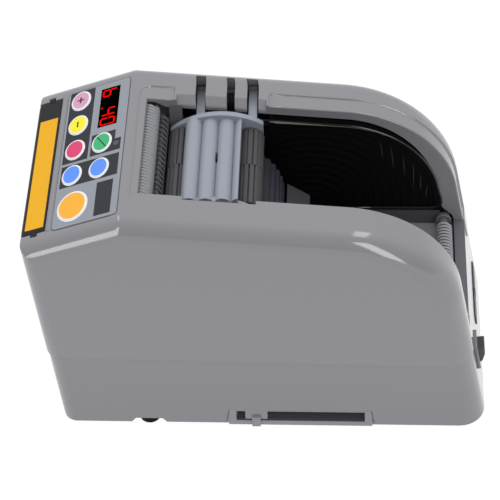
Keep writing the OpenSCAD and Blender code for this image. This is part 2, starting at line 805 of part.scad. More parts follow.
// Closed skin over rings of equal point counts.
module skin(rings) {
    m = len(rings);
    n = len(rings[0]);
    walls = [for (i = [0 : m - 2], j = [0 : n - 1], t = [0, 1])
        let (a = i * n + j, b = i * n + (j + 1) % n)
        t == 0 ? [a, a + n, b + n] : [a, b + n, b]];
    caps = [for (j = [1 : n - 2], t = [0, 1]) let (e = (m - 1) * n)
        t == 0 ? [0, j, j + 1] : [e, e + j + 1, e + j]];
    polyhedron([for (ring = rings, point = ring) point], concat(walls, caps));
}

// The rounded body: rings of the outline, drawn in towards the sides.
module envelope(inset, z0, levels) {
    h = half_w - inset;
    r = rear_corner_r - inset;
    side = [for (k = [0 : levels]) h - r * (1 - sin(90 * k / levels))];
    skin([for (y = concat([for (k = [levels : -1 : 0]) -side[k]], side))
        let (dt = inset + draw_in(edge_r - inset, abs(y), h),
             df = inset + draw_in(front_corner_r - inset, abs(y), h),
             dr = inset + draw_in(r, abs(y), h))
        [for (q = outline(dt, df, dr, z0)) [q.x, y, q.y]]]);
}

// One level of the base's plan, a rectangle with round corners.
module plan(z, inset) {
    rf = front_corner_r - inset / 2;
    rr = rear_corner_r - inset / 2;
    for (side = [-1, 1]) {
        translate([front_x(z, inset) + rf, side * (half_w - inset - rf), z])
            cylinder(r = rf, h = eps, $fn = 32);
        translate([rear_x(z, inset) - rr, side * (half_w - inset - rr), z])
            cylinder(r = rr, h = eps, $fn = 32);
    }
}

// A band of the outline between two depths, over the length of the well.
module well_band(d0, d1, y0, y1) {
    across(y0, y1) intersection() {
        difference() {
            polygon(outline(d0, d0, d0, parting_h));
            polygon(outline(d1, d1, d1, parting_h - over));
        }
        translate([-well_front, lip_end_h]) square(far_out);
    }
}

// Plan of the ledge, open to the rear, with round front corners.
module ledge_plan() {
    x0 = -well_front - ledge_front;
    translate([x0 + ledge_r, -ledge_y]) square([far_out, 2 * ledge_y]);
    translate([x0, -ledge_y + ledge_r]) square([2 * ledge_r, 2 * (ledge_y - ledge_r)]);
    for (side = [-1, 1]) translate([x0 + ledge_r, side * (ledge_y - ledge_r)]) circle(ledge_r);
}

// Prism between the block's end walls, drawn in Y and depth below the sloping top.
module along_block() {
    intersection() {
        translate([block_x0 - over, 0, top_z(block_x0 - over)]) rotate([0, top_fall, 0])
            rotate([90, 0, 90]) linear_extrude(block_x1 - block_x0 + 2 * over) children();
        translate([block_x0 + block_end, 0, 0])
            cube([block_x1 - block_x0 - 2 * block_end, far_out, far_out]);
    }
}

module upper_housing() color([0.545, 0.545, 0.565]) difference() {
    union() {
        difference() {
            envelope(0, parting_h, 5);
            envelope(wall, parting_h - over, 3);
        }
        // Lip that turns down at the edge of the well.
        both_sides() well_band(ledge_d, ledge_d + lip_h, well_y - over, well_y + lip_t);
        translate([-well_front - lip_t, -well_y - lip_t, top_z(-well_front) - ledge_d - front_lip_h])
            cube([lip_t + over, well_w + 2 * lip_t, front_lip_h]);
        // Raised block for the press unit's hinge, open under its edge.
        difference() {
            across(well_y - over, slot_y + lip_t) intersection() {
                polygon(outline(wall / 2, wall / 2, wall / 2, parting_h));
                translate([block_x0, block_h]) square([block_x1 - block_x0, far_out]);
            }
            along_block() translate([0, -slope_d - slope_t - far_out])
                square([well_y + slope_w, far_out]);
        }
        // Shelf under the front cover.
        intersection() {
            envelope(wall / 2, parting_h, 2);
            on_panel() panel_box(cover_s0 - shelf_edge, far_out, -cover_half - ear_l - shelf_edge,
                cover_half + ear_l + shelf_edge, -cover_t - gap - shelf_t, -cover_t - gap);
        }
        // Ridge between the film and the front cover.
        on_panel() translate([0, overlay_half, 0]) rotate([90, 0, 0])
            linear_extrude(2 * overlay_half) polygon([[-ridge_s, -wall / 2], [-ridge_s, 0],
                [-ridge_s - ridge_h, ridge_h], [-ridge_s - ridge_w + ridge_h, ridge_h],
                [-ridge_s - ridge_w, 0], [-ridge_s - ridge_w, -wall / 2]]);
        // Bosses for the housing screws, webbed to the side walls.
        for (x = screw_x) both_sides() {
            translate([x, screw_y, parting_h]) cylinder(r = boss_r, h = boss_h - parting_h);
            translate([x - wall / 2, screw_y, parting_h])
                cube([wall, half_w - wall / 2 - screw_y, boss_h - parting_h]);
        }
    }
    // Mouth of the well, open at the top and the rear, with a relief in the near rim.
    translate([-well_front, -well_y, parting_h - over]) cube([far_out, well_w, far_out]);
    translate([relief_x0, -well_y - relief_d, block_h]) cube([relief_l, relief_d + over, far_out]);
    // Recessed ledge round the mouth, broken by the block.
    difference() {
        intersection() {
            translate([0, 0, lip_end_h]) linear_extrude(far_out) ledge_plan();
            across(-ledge_y - over, ledge_y + over) difference() {
                translate([-far_out / 2, 0]) square(far_out);
                polygon(outline(ledge_d, ledge_d, ledge_d, parting_h - over));
            }
        }
        translate([block_x0, 0, 0]) cube([block_x1 - block_x0, far_out, far_out]);
    }
    // Sloping inner top of the block.
    along_block() polygon([[slope_y, 0], [slope_y, over * 4], [well_y - over, over * 4],
        [well_y - over, -slope_d - over * slope_d / (slope_y - well_y)]]);
    // Slots for the press unit's arms and its hinge pin.
    for (i = [0 : 2]) translate([slot_x[i] - slot_ws[i] / 2, well_y - over, block_h - over])
        cube([slot_ws[i], slot_y - well_y + over, far_out]);
    translate([block_x0 - over, hinge_y, hinge_z]) rotate([0, 90, 0])
        cylinder(r = hinge_r + seat, h = block_x1 - block_x0 + 2 * over);
    on_panel() {
        translate([0, 0, overlay_proud - overlay_t - seat]) linear_extrude(panel_over) film_plan(seat);
        for (key = keys) panel_oval(key, key_gap, -wall - 2 * over, panel_over);
        panel_box(window_s0 - seat, window_s1 + seat, window_y0 - seat, window_y1 + seat,
            -wall - over, panel_over);
        translate([-lamp_s, lamp_y, -wall - over])
            cylinder(r = lamp_r + seat, h = wall + over + panel_over);
        // Seat of the front cover and of its ears.
        panel_box(cover_s0 - gap, far_out, -cover_half - gap, cover_half + gap, -cover_t - gap,
            panel_over);
        panel_box(cover_ear_s() - ear_w / 2 - gap, cover_ear_s() + ear_w / 2 + gap,
            -cover_half - ear_l - gap, cover_half + ear_l + gap, -cover_t - gap, panel_over);
    }
    // Tape outlet in the front face.
    translate([front_x(outlet_h1) - over, -well_y, outlet_h0])
        cube([2 * (wall + over), well_w, outlet_h1 - outlet_h0]);
    for (x = screw_x) both_sides() translate([x, screw_y, parting_h - over])
        cylinder(r = screw_r + seat, h = boss_h - parting_h - over);
}

module base_housing() color([0.53, 0.53, 0.55]) difference() {
    union() {
        difference() {
            hull() {
                plan(skirt_h, base_step + base_edge);
                plan(skirt_h + base_edge, base_step);
                plan(parting_h - eps, base_step);
            }
            hull() {
                plan(base_floor, base_step + wall);
                plan(parting_h + over, base_step + wall);
            }
            hull() {
                plan(skirt_h - over, base_step + wall);
                plan(floor_h - eps, base_step + wall);
            }
        }
        // Thickened rear wall under the mouth of the well.
        across(-plate_y0, plate_y0) polygon([for (q = [[0, base_step + wall / 2],
            [back_wall_h, base_step + wall / 2], [back_wall_h, back_wall_in], [0, back_wall_in]])
            [rear_x(parting_h - q[0], q[1]), parting_h - q[0]]]);
        for (x = screw_x) both_sides() translate([x, screw_y, floor_h])
            cylinder(r = boss_r, h = parting_h - floor_h);
        for (x = [power_board_x0 + standoff_in, power_board_x1 - standoff_in]) both_sides()
            translate([x, power_board_half - standoff_in, floor_h + wall / 2])
                cylinder(r = standoff_r, h = wall / 2 + standoff_h);
    }
    // Screw holes, with room for the heads.
    for (x = screw_x) both_sides() translate([x, screw_y, 0]) {
        cylinder(r = screw_r + seat, h = far_out);
        cylinder(r = screw_head_r + seat, h = base_floor + head_rise);
    }
    // Relief in the skirt beside each front foot.
    across(-far_out, far_out) translate([feet[0].x, skirt_h]) polygon([
        [-notch_half - notch_flare * (1 + over / notch_h), -over],
        [notch_half + notch_flare * (1 + over / notch_h), -over],
        [notch_half, notch_h], [-notch_half, notch_h]]);
    // Opening for the slider insert and the room behind it.
    translate([insert_x0 - seat, -far_out, 0])
        cube([insert_l + 2 * seat, far_out - slider_room_y, insert_h + seat]);
    on_rear(switch_y, switch_at_h)
        translate([-bezel_l / 2 + bezel_rim, -bezel_w / 2 + bezel_rim, -wall - over])
            cube([bezel_l - 2 * bezel_rim, bezel_w - 2 * bezel_rim, wall + 2 * over]);
    on_rear(inlet_y, inlet_at_h) translate([0, 0, -wall - over])
        cylinder(r = inlet_r + seat, h = wall + 2 * over);
}

module rubber_feet() color([0.06, 0.06, 0.065]) for (at = feet) both_sides()
    translate([at.x, at.y, 0]) {
        cylinder(r1 = foot_r - foot_edge, r2 = foot_r, h = foot_edge);
        translate([0, 0, foot_edge]) cylinder(r = foot_r, h = foot_h - foot_edge);
        cylinder(r = foot_neck_r, h = floor_h);
    }

module housing_screws() color([0.6, 0.6, 0.62]) for (x = screw_x) both_sides()
    translate([x, screw_y, base_floor + head_rise]) difference() {
        union() {
            translate([0, 0, -screw_head_h]) cylinder(r = screw_head_r, h = screw_head_h);
            translate([0, 0, -over]) cylinder(r = screw_r,
                h = boss_h - screw_end - base_floor - head_rise + over);
        }
        for (a = [0, 90]) rotate([0, 0, a])
            translate([-driver_l / 2, -driver_w / 2, -screw_head_h - over])
                cube([driver_l, driver_w, over + driver_d]);
    }

// Inner side plate in the X-Z plane: it stands on the base floor and carries every shaft.
module plate_shape() {
    difference() {
        polygon(outline(plate_top_in, plate_in, plate_in, base_floor));
        // Room under the panel for the boards.
        translate(break_pt) rotate(panel_tilt) translate([-far_out, -board_d - board_t - board_room])
            square([far_out - overlay_s0, far_out]);
        // Room for the switch and the inlet in the rear face.
        translate([plate_rear_x, 0]) square([far_out, plate_rear_h]);
        // Way for the press unit's cheeks and saddle.
        translate([block_x0 - gap, plate_top]) square([block_x1 - block_x0 + 2 * gap, far_out]);
        for (p = guide_at) translate(p) circle(rod_r + run);
        translate([drum_x, drum_h]) circle(drum_shaft_r + run);
        translate([cutter_x, cutter_h]) circle(rotor_shaft_r + run);
    }
}

module side_plate_near() color([0.45, 0.45, 0.47]) across(-plate_y1, -plate_y0) difference() {
    plate_shape();
    translate([drum_x, idler_h]) circle(idler_pin_r + seat);
    translate([drum_x, pinion_h]) circle(motor_shaft_r + shaft_room);
}

module side_plate_far() color([0.45, 0.45, 0.47]) across(plate_y0, plate_y1) difference() {
    plate_shape();
    translate([cutter_motor_x, cutter_motor_h]) circle(motor_shaft_r + shaft_room);
}

module well_floor() color([0.47, 0.47, 0.49]) {
    ear_r = rod_r + ear_wall;
    low = well_floor_h - well_floor_t;
    x0 = deck_x - deck_t;
    deck_x0 = drum_x + drum_r + deck_gap;
    deck_z0 = drum_h + deck_rise;
    deck_z1 = deck_z0 - (deck_x - deck_x0) * tan(deck_slope);
    under = deck_t / cos(deck_slope);
    translate([x0, -plate_y0, low])
        cube([rear_x(parting_h, back_wall_in) - gap - x0, 2 * plate_y0, well_floor_t]);
    // Sloping deck behind the drum, on an upright plate.
    across(-deck_half, deck_half) polygon([[deck_x0, deck_z0], [deck_x, deck_z1], [deck_x, low],
        [x0, low], [x0, deck_z1 + deck_t * tan(deck_slope) - under], [deck_x0, deck_z0 - under]]);
    // Ears that hold the rear guide rod.
    both_sides() difference() {
        across(rear_coil_half + collar_t + gap, well_y - gap) polygon(concat(
            arc(rear_guide_at, ear_r, 180, 0, 16),
            [[rear_guide_at.x + ear_r, well_floor_h - over],
                [rear_guide_at.x - ear_r, well_floor_h - over]]));
        rod_across(rear_guide_at.x, rear_guide_at.y, rod_r + run, 0, far_out);
    }
}

// Shape of the liner in the X-Z plane, drawn in by d, below the raised block.
module liner_shape(d) {
    x1 = rear_x(well_floor_h, liner_rear_in + d);
    r = liner_corner_r;
    intersection() {
        polygon(outline(liner_top_in + d, liner_rear_in + d, liner_rear_in + d, well_floor_h));
        union() {
            translate([liner_x + d, well_floor_h + d])
                square([block_x1 + gap + over - liner_x, plate_top - well_floor_h - 2 * d]);
            translate([block_x1 + gap + d, well_floor_h + d])
                square([x1 - r - block_x1 - gap - d, far_out]);
            translate([x1 - r - over, well_floor_h + d + r]) square(far_out);
            translate([x1 - r, well_floor_h + d + r]) circle(r);
        }
    }
}

// Black D-shaped liner: a plate with a raised border and curved ribs.
module well_liner() color([0.04, 0.04, 0.045]) {
    y0 = plate_y0 - liner_t;
    across(y0, plate_y0) liner_shape(0);
    across(y0 - liner_rib, y0 + over) difference() {
        liner_shape(0);
        liner_shape(border_w);
    }
    across(y0 - liner_rib, y0 + over) intersection() {
        liner_shape(border_w - over);
        for (i = [1 : liner_ribs]) translate([rib_x, well_floor_h + rib_rise]) difference() {
            circle(i * rib_pitch + rib_w / 2);
            circle(i * rib_pitch - rib_w / 2);
        }
    }
}

module well_liner_far() well_liner();
module well_liner_near() mirror([0, 1, 0]) well_liner();

// Round outline with n flutes of depth d: each flute runs from 0.06 to 0.24 of its pitch.
function fluted(r, n, d) = [for (i = [0 : n - 1], k = [0 : 3])
    let (a = (i + [0.06, 0.24, 0.56, 0.94][k]) * 360 / n, q = k == 0 || k == 1 ? r - d : r)
    q * [cos(a), sin(a)]];

module feed_drum() color([0.3, 0.3, 0.31]) difference() {
    across(drum_y0, drum_y1) translate([drum_x, drum_h]) difference() {
        polygon(fluted(drum_r, drum_flutes, flute_d));
        circle(drum_shaft_r + seat);
    }
    // Hollow ends, with the web left in the middle.
    for (y = [[drum_y0 - over, drum_y0 + drum_hollow], [drum_y1 - drum_hollow, drum_y1 + over]])
        across(y[0], y[1]) translate([drum_x, drum_h]) difference() {
            circle(drum_r - flute_d - drum_rim);
            circle(drum_hub_r);
        }
}

module drum_shaft() color([0.7, 0.7, 0.72])
    rod_across(drum_x, drum_h, drum_shaft_r, -gear_y1 - shaft_end, plate_y1 + shaft_end);

// Involute gear with short tips and a little backlash.
pressure = 25;
tip_k = 0.8;
root_k = 1.15;
backlash = 0.35;
function inv(a) = tan(a) * 180 / PI - a;
function half_tooth(r, rp) =
    let (rb = rp * cos(pressure), a = r > rb ? acos(rb / r) : 0)
    (tooth_m * PI / 2 - backlash) / 2 / rp * 180 / PI + inv(pressure) - inv(a);
function gear_pts(n) =
    let (rp = tooth_m * n / 2, ra = rp + tip_k * tooth_m, rr = rp - root_k * tooth_m,
         rb = max(rp * cos(pressure), rr + eps), rs = [rr, rb, (rb + rp) / 2, rp, (rp + ra) / 2, ra])
    [for (i = [0 : n - 1], k = [0 : 11])
        let (r = rs[k < 6 ? k : 11 - k], h = half_tooth(max(r, rb), rp),
             a = i * 360 / n + (k < 6 ? -h : h))
        r * [cos(a), sin(a)]];

module gear(n, turn) {
    rotate(turn) polygon(gear_pts(n));
}

module bored_gear(n, turn, bore) {
    difference() {
        gear(n, turn);
        circle(bore);
    }
}

module drum_gear() color([0.85, 0.83, 0.78]) across(-gear_y1, -gear_y0)
    translate([drum_x, drum_h]) bored_gear(drum_teeth, -90, drum_shaft_r + seat);

module idler_gear() color([0.85, 0.83, 0.78]) across(-gear_y1, -gear_y0)
    translate([drum_x, idler_h])
        bored_gear(idler_teeth, 90 + 180 / idler_teeth, idler_pin_r + run);

module idler_pin() color([0.7, 0.7, 0.72])
    rod_across(drum_x, idler_h, idler_pin_r, -gear_y1 - shaft_end, -plate_y0);

module feed_motor() color([0.62, 0.62, 0.64]) difference() {
    rod_across(drum_x, pinion_h, feed_motor_r, -plate_y0, feed_motor_l - plate_y0);
    rod_across(drum_x, pinion_h, motor_shaft_r + run, -plate_y0 - over,
        motor_shaft_l + over - plate_y0);
}

module feed_pinion() color([0.85, 0.83, 0.78]) {
    turn = 90 + idler_teeth % 2 * 180 / feed_pinion_teeth;
    across(-gear_y1, -gear_y0) translate([drum_x, pinion_h]) gear(feed_pinion_teeth, turn);
    rod_across(drum_x, pinion_h, motor_shaft_r, -gear_y0 - over, motor_shaft_l - plate_y0);
}

// Cheek of the press unit in the X-Z plane, with the top of its arc at a given point.
module cheek(top) {
    difference() {
        intersection() {
            translate(top - [0, cheek_r]) circle(cheek_r);
            translate([drum_x - cheek_half, drum_h + cheek_low])
                square([2 * cheek_half, far_rise]);
        }
        translate([drum_x, drum_h]) circle(drum_r + arch_gap);
        for (x = press_x) translate([x, press_z]) circle(press_axle_r + run);
    }
}

// Saddle over the drum in the X-Z plane: a plate with humps, cleared round the press rollers.
module saddle() {
    x0 = drum_x - hump_lead;
    z = drum_h + hump_rise;
    difference() {
        intersection() {
            union() {
                for (i = [0 : humps - 1]) translate([x0 + i * hump_pitch, z]) circle(hump_r);
                translate([x0, z - saddle_t])
                    square([hump_lead + saddle_end, saddle_t + saddle_fill]);
            }
            translate([drum_x + saddle_end - far_out, 0]) square(far_out);
        }
        for (x = press_x) translate([x, press_z]) circle(press_r + 2 * gap);
    }
}

module press_carrier() color([0.6, 0.625, 0.67]) {
    far_top = [drum_x + far_shift, drum_h + far_rise];
    across(cheek_y0, cheek_y0 + cheek_t) cheek([drum_x, drum_h + near_rise]);
    across(cheek_y1 - cheek_t, cheek_y1) cheek(far_top);
    // Saddle, pierced by a small slot in its second valley.
    difference() {
        across(cheek_y0 + axle_in, cheek_y1 - saddle_short) saddle();
        translate([drum_x - hump_lead + 1.5 * hump_pitch - pierce_w / 2, pierce_y, 0])
            cube([pierce_w, pierce_l, far_out]);
    }
    // Arms that reach through the far rim to the hinge.
    for (x = arm_x) translate([x - arm_w / 2, 0, 0]) difference() {
        rotate([90, 0, 90]) linear_extrude(arm_w) {
            polygon([[cheek_y1 - cheek_t / 2, press_z + press_axle_r + 2 * gap],
                [hinge_y - eye_r / 3, hinge_z - eye_r * 0.9], [hinge_y, hinge_z],
                [hinge_y - eye_r / 3, hinge_z + eye_r * 0.9],
                [cheek_y1 - cheek_t / 2, far_top.y - arm_drop]]);
            translate([hinge_y, hinge_z]) circle(eye_r);
        }
        translate([-over, hinge_y, hinge_z]) rotate([0, 90, 0])
            cylinder(r = hinge_r + run, h = arm_w + 2 * over);
    }
}

module carrier_hinge_pin() color([0.75, 0.75, 0.77])
    translate([block_x0 + pin_in, hinge_y, hinge_z]) rotate([0, 90, 0])
        cylinder(r = hinge_r, h = block_x1 - block_x0 - 2 * pin_in);

// Press roller: two fluted sleeves on one axle, set half a flute apart.
module press_roller(x) color([0.4, 0.4, 0.41]) {
    y0 = cheek_y0 + cheek_t + gap;
    y1 = cheek_y1 - cheek_t - gap;
    mid = (y0 + y1) / 2;
    for (part = [[y0, mid - gap / 2, 0], [mid + gap / 2, y1, 180 / press_flutes]])
        across(part[0], part[1]) translate([x, press_z]) difference() {
            rotate(part[2]) polygon(fluted(press_r, press_flutes, flute_d));
            circle(press_axle_r + seat);
        }
}

module roller_axle(x) color([0.75, 0.75, 0.77])
    rod_across(x, press_z, press_axle_r, cheek_y0 + axle_in, cheek_y1 - axle_in);

module press_roller_front() press_roller(press_x[0]);
module press_roller_rear() press_roller(press_x[1]);
module roller_axle_front() roller_axle(press_x[0]);
module roller_axle_rear() roller_axle(press_x[1]);

// Guide rod with a collar of radius r at each end of its coil.
module guide_rod(at, reach, half, r) color([0.72, 0.72, 0.74]) {
    rod_across(at.x, at.y, rod_r, -reach, reach);
    both_sides() rod_across(at.x, at.y, r, half, half + collar_t);
}

// Path of a coil [curls, half length, mean radius, wire radius] laid out flat, around and along the
// rod: straight curls between two bends, and straight ends square to the collars.
coil_end_gap = 0.2;
coil_sides = 6;
curl_steps = 8;
function bend_r(coil) = 3 * coil[3];
function coil_rise(coil) = 2 * (coil[1] - coil_end_gap - bend_r(coil) - 2 * coil[3]) / coil[0];
function coil_end(coil) =
    let (slope = atan(coil_rise(coil) / (2 * PI * coil[2])), b = bend_r(coil))
    concat([for (i = [1 : 3]) let (a = slope + (90 - slope) * i / 3)
            b * [sin(a) - sin(slope), cos(slope) - cos(a)]],
        [b * [1 - sin(slope), cos(slope)] + [0, 2 * coil[3] + b * (1 - cos(slope))]]);
function coil_flat(coil) =
    let (full = [2 * PI * coil[2], coil_rise(coil)] * coil[0], ext = coil_end(coil), m = len(ext),
         n = curl_steps * coil[0])
    concat([for (i = [m - 1 : -1 : 0]) -full / 2 - ext[i]],
        [for (i = [0 : n]) full * (i / n - 0.5)],
        [for (e = ext) full / 2 + e]);
function coil_path(coil) = [for (q = coil_flat(coil))
    let (a = q.x / coil[2] * 180 / PI) [coil[2] * cos(a), q.y, coil[2] * sin(a)]];

// Least gap between curls: distance of path points over half a curl apart, less the wire.
function coil_gap(path, w) =
    min([for (i = [0 : len(path) - 1], j = [i + curl_steps / 2 + 1 : 1 : len(path) - 1])
        norm(path[i] - path[j])]) - 2 * w;

module guide_coil(at, coil) color([0.6, 0.6, 0.62]) {
    path = coil_path(coil);
    n = len(path);
    rings = [for (i = [0 : n - 1])
        let (t = path[min(i + 1, n - 1)] - path[max(i - 1, 0)],
             out = [path[i].x, 0, path[i].z] / coil[2], up = cross(t / norm(t), out))
        [for (k = [0 : coil_sides - 1]) let (a = k * 360 / coil_sides)
            path[i] + coil[3] * (cos(a) * out + sin(a) * up)]];
    translate([at.x, 0, at.y]) skin(rings);
}

fine_coil = [fine_curls, coil_half, coil_r, wire_r];
coarse_coil = [coarse_curls, coil_half, coil_r, wire_r];
rear_coil = [rear_curls, rear_coil_half, rear_coil_r, rear_wire_r];

module guide_rod_upper() guide_rod(guide_at[0], plate_y1, coil_half, coil_r + wire_r);
module guide_rod_middle() guide_rod(guide_at[1], plate_y1, coil_half, coil_r + wire_r);
module guide_rod_lower() guide_rod(guide_at[2], plate_y1, coil_half, coil_r + wire_r);
module guide_rod_rear()
    guide_rod(rear_guide_at, well_y - gap, rear_coil_half, rear_coil_r + rear_wire_r);
module guide_coil_upper() guide_coil(guide_at[0], fine_coil);
module guide_coil_middle() guide_coil(guide_at[1], coarse_coil);
module guide_coil_lower() guide_coil(guide_at[2], coarse_coil);
module guide_coil_rear() guide_coil(rear_guide_at, rear_coil);

// Rotary cutter: the rotor's blade shears the tape against the fixed blade above it.
module rotor_place() translate([cutter_x, cutter_h]) rotate(-135) children();

module cutter_rotor() color([0.62, 0.62, 0.64]) difference() {
    union() {
        rod_across(cutter_x, cutter_h, rotor_shaft_r, -plate_y1, gear_y1 + shaft_end);
        rod_across(cutter_x, cutter_h, rotor_r, -rotor_half, rotor_half);
    }
    across(-rotor_half - over, rotor_half + over) rotor_place()
        translate([blade_seat, -blade_t / 2 - seat]) square([rotor_r, blade_t + 2 * seat]);
}

module rotor_blade() color([0.8, 0.8, 0.82]) across(-rotor_half, rotor_half) rotor_place()
    polygon([[blade_seat + seat, -blade_t / 2], [blade_sweep - blade_bevel, -blade_t / 2],
        [blade_sweep, blade_t / 2], [blade_seat + seat, blade_t / 2]]);

module fixed_blade() color([0.8, 0.8, 0.82]) {
    z = cutter_h + blade_sweep + gap;
    across(-plate_y0, plate_y0) polygon([[cutter_x - fixed_blade_w, z + blade_bevel],
        [cutter_x - blade_bevel, z], [cutter_x, z], [cutter_x, z + fixed_blade_t],
        [cutter_x - fixed_blade_w, z + fixed_blade_t]]);
}

module cutter_gear() color([0.85, 0.83, 0.78]) across(gear_y0, gear_y1)
    translate([cutter_x, cutter_h])
        bored_gear(cutter_teeth, -cutter_turn, rotor_shaft_r + seat);

module cutter_motor() color([0.62, 0.62, 0.64]) difference() {
    rod_across(cutter_motor_x, cutter_motor_h, cutter_motor_r, plate_y0 - cutter_motor_l, plate_y0);
    rod_across(cutter_motor_x, cutter_motor_h, motor_shaft_r + run, plate_y0 - motor_shaft_l - over,
        plate_y0 + over);
}

module cutter_pinion() color([0.85, 0.83, 0.78]) {
    across(gear_y0, gear_y1) translate([cutter_motor_x, cutter_motor_h])
        gear(cutter_pinion_teeth, 180 - cutter_turn + 180 / cutter_pinion_teeth);
    rod_across(cutter_motor_x, cutter_motor_h, motor_shaft_r, plate_y0 - motor_shaft_l,
        gear_y0 + over);
}

// The panel and its pieces.
function panel_l() = let (nose = meet(n_front, d_front, n_panel, d_panel)) norm(nose - break_pt);
function cover_ear_s() = (cover_s0 + panel_l()) / 2 - ear_up;

module front_cover() color([0.13, 0.13, 0.14]) {
    intersection() {
        envelope(0, parting_h, 2);
        on_panel() panel_box(cover_s0, far_out, -cover_half, cover_half, -cover_t, panel_over);
    }
    on_panel() both_sides() panel_box(cover_ear_s() - ear_w / 2, cover_ear_s() + ear_w / 2,
        cover_half - over, cover_half + ear_l, -cover_t, 0);
}

module panel_overlay() color([0.59, 0.615, 0.66]) on_panel() difference() {
    translate([0, 0, overlay_proud - overlay_t]) linear_extrude(overlay_t) film_plan(0);
    for (key = keys) panel_oval(key, key_gap, -panel_over, panel_over);
    panel_box(window_s0 - seat, window_s1 + seat, window_y0 - seat, window_y1 + seat, -panel_over,
        panel_over);
    translate([-lamp_s, lamp_y, -panel_over]) cylinder(r = lamp_r + seat, h = 2 * panel_over);
}

module display_window() color([0.02, 0.02, 0.02]) on_panel()
    panel_box(window_s0, window_s1, window_y0, window_y1, -wall, overlay_proud);

module display_module() color([0.12, 0.12, 0.12]) on_panel()
    panel_box(window_s0 + module_in, window_s1 - module_in, window_y0 + module_in,
        window_y1 - module_in, -board_d, -wall - seat);

module control_board() color([0.1, 0.35, 0.2]) on_panel() {
    s0 = overlay_s0 + 2 * board_in;
    s1 = overlay_s1 + board_in;
    y = overlay_half - board_in;
    difference() {
        panel_box(s0, s1, -y, y, -board_d - board_t, -board_d);
        for (s = [s0 + hole_in, s1 - hole_in], side = [-1, 1])
            translate([-s, side * (y - hole_in), -board_d - board_t - over])
                cylinder(r = board_hole_r, h = board_t + 2 * over);
    }
}

module key_switches() color([0.2, 0.2, 0.21]) on_panel() for (key = keys) {
    panel_box(key[0] - switch_w / 2, key[0] + switch_w / 2, key[1] - switch_w / 2,
        key[1] + switch_w / 2, -board_d, -board_d + switch_h - plunger_h);
    translate([-key[0], key[1], -board_d]) cylinder(r = plunger_r, h = switch_h);
}

module status_lamp() color([0.45, 0.46, 0.48]) on_panel()
    translate([-lamp_s, lamp_y, -board_d]) cylinder(r = lamp_r, h = board_d + overlay_proud);

module button(i, tint) color(tint) on_panel() {
    panel_oval(keys[i], 0, -wall - key_flange, overlay_proud + key_proud);
    translate([-keys[i][0], keys[i][1], key_foot]) cylinder(r = stem_r, h = -key_foot - wall);
}

module button_plus() button(0, [0.84, 0.62, 0.74]);
module button_minus() button(1, [0.98, 0.93, 0.2]);
module button_red() button(2, [0.85, 0.25, 0.43]);
module button_blue_left() button(3, [0.36, 0.58, 0.96]);
module button_green() button(4, [0.24, 0.7, 0.45]);
module button_blue_right() button(5, [0.36, 0.58, 0.96]);
module button_start() button(6, [0.99, 0.7, 0.2]);

// Slider in the near wall: a slotted insert, closed behind, and a knob that hooks over it.
module slider_insert() color([0.5, 0.5, 0.52]) difference() {
    room_y = -wall_y + insert_t;
    translate([insert_x0, -wall_y, skirt_h])
        cube([insert_l, wall_y - slider_room_y - seat, insert_h - skirt_h]);
    translate([track_x0, room_y, 0]) cube([track_x1 - track_x0, keeper_t + 2 * gap, far_out]);
    translate([track_x0, -wall_y - over, track_h0])
        cube([track_x1 - track_x0, insert_t + 2 * over, track_h1 - track_h0]);
}

module slide_knob() color([0.52, 0.52, 0.54]) {
    x0 = track_x0 + knob_rest;
    tail_x = x0 + (knob_l - knob_tail) / 2;
    z0 = track_h0 + gap;
    z1 = track_h1 - gap;
    back = -wall_y + insert_t + gap;
    face = -wall_y - tail_gap;
    across(-wall_y + knob_sink, back) translate([x0, z0]) square([knob_l, z1 - z0]);
    // Tail that hooks over the lower bar in front, and keeper behind the slot.
    across(face - tail_t, -wall_y + knob_sink + over) translate([tail_x, z0])
        square([knob_tail, tail_top]);
    across(face - tail_t, face) translate([tail_x, tail_h])
        square([knob_tail, z0 + tail_top - tail_h]);
    across(back - eps, back + keeper_t) translate([x0, track_h0 - keeper_lap])
        square([knob_l, track_h1 - track_h0 + 2 * keeper_lap]);
}

// Rear fittings. The rocker turns about an axis in the plane of the base's face.
module power_switch_body() color([0.1, 0.1, 0.11]) on_rear(switch_y, switch_at_h) {
    in = bezel_rim + seat;
    difference() {
        union() {
            translate([-bezel_l / 2, -bezel_w / 2, seat]) cube([bezel_l, bezel_w, bezel_t - seat]);
            translate([-bezel_l / 2 + in, -bezel_w / 2 + in, -switch_body_d])
                cube([bezel_l - 2 * in, bezel_w - 2 * in, switch_body_d + over]);
        }
        translate([-bezel_l / 2 + 2 * bezel_rim, -bezel_w / 2 + 2 * bezel_rim,
            -rocker_r - rocker_room])
            cube([bezel_l - 4 * bezel_rim, bezel_w - 4 * bezel_rim, far_out]);
    }
}

module power_rocker() color([0.2, 0.2, 0.21]) on_rear(switch_y, switch_at_h) {
    half = bezel_w / 2 - 2 * bezel_rim - gap;
    x = rocker_r + over;
    z = bezel_t + rocker_rise;
    translate([0, half, 0]) rotate([90, 0, 0]) linear_extrude(2 * half) intersection() {
        circle(rocker_r);
        polygon([[-x, -rocker_r], [x, -rocker_r], [x, z], [0, z], [-x, z + x * tan(rocker_tilt)]]);
    }
}

module power_inlet() color([0.08, 0.08, 0.085]) on_rear(inlet_y, inlet_at_h) difference() {
    union() {
        translate([0, 0, -inlet_d]) cylinder(r = inlet_r, h = inlet_d + inlet_plate_t / 2);
        translate([-inlet_plate_l / 2, -inlet_plate_w / 2, seat])
            cube([inlet_plate_l, inlet_plate_w, inlet_plate_t - seat]);
    }
    translate([0, 0, -inlet_d + inlet_end]) difference() {
        cylinder(r = socket_r, h = far_out);
        cylinder(r = socket_pin_r, h = inlet_d - inlet_end - socket_pin_in);
    }
}

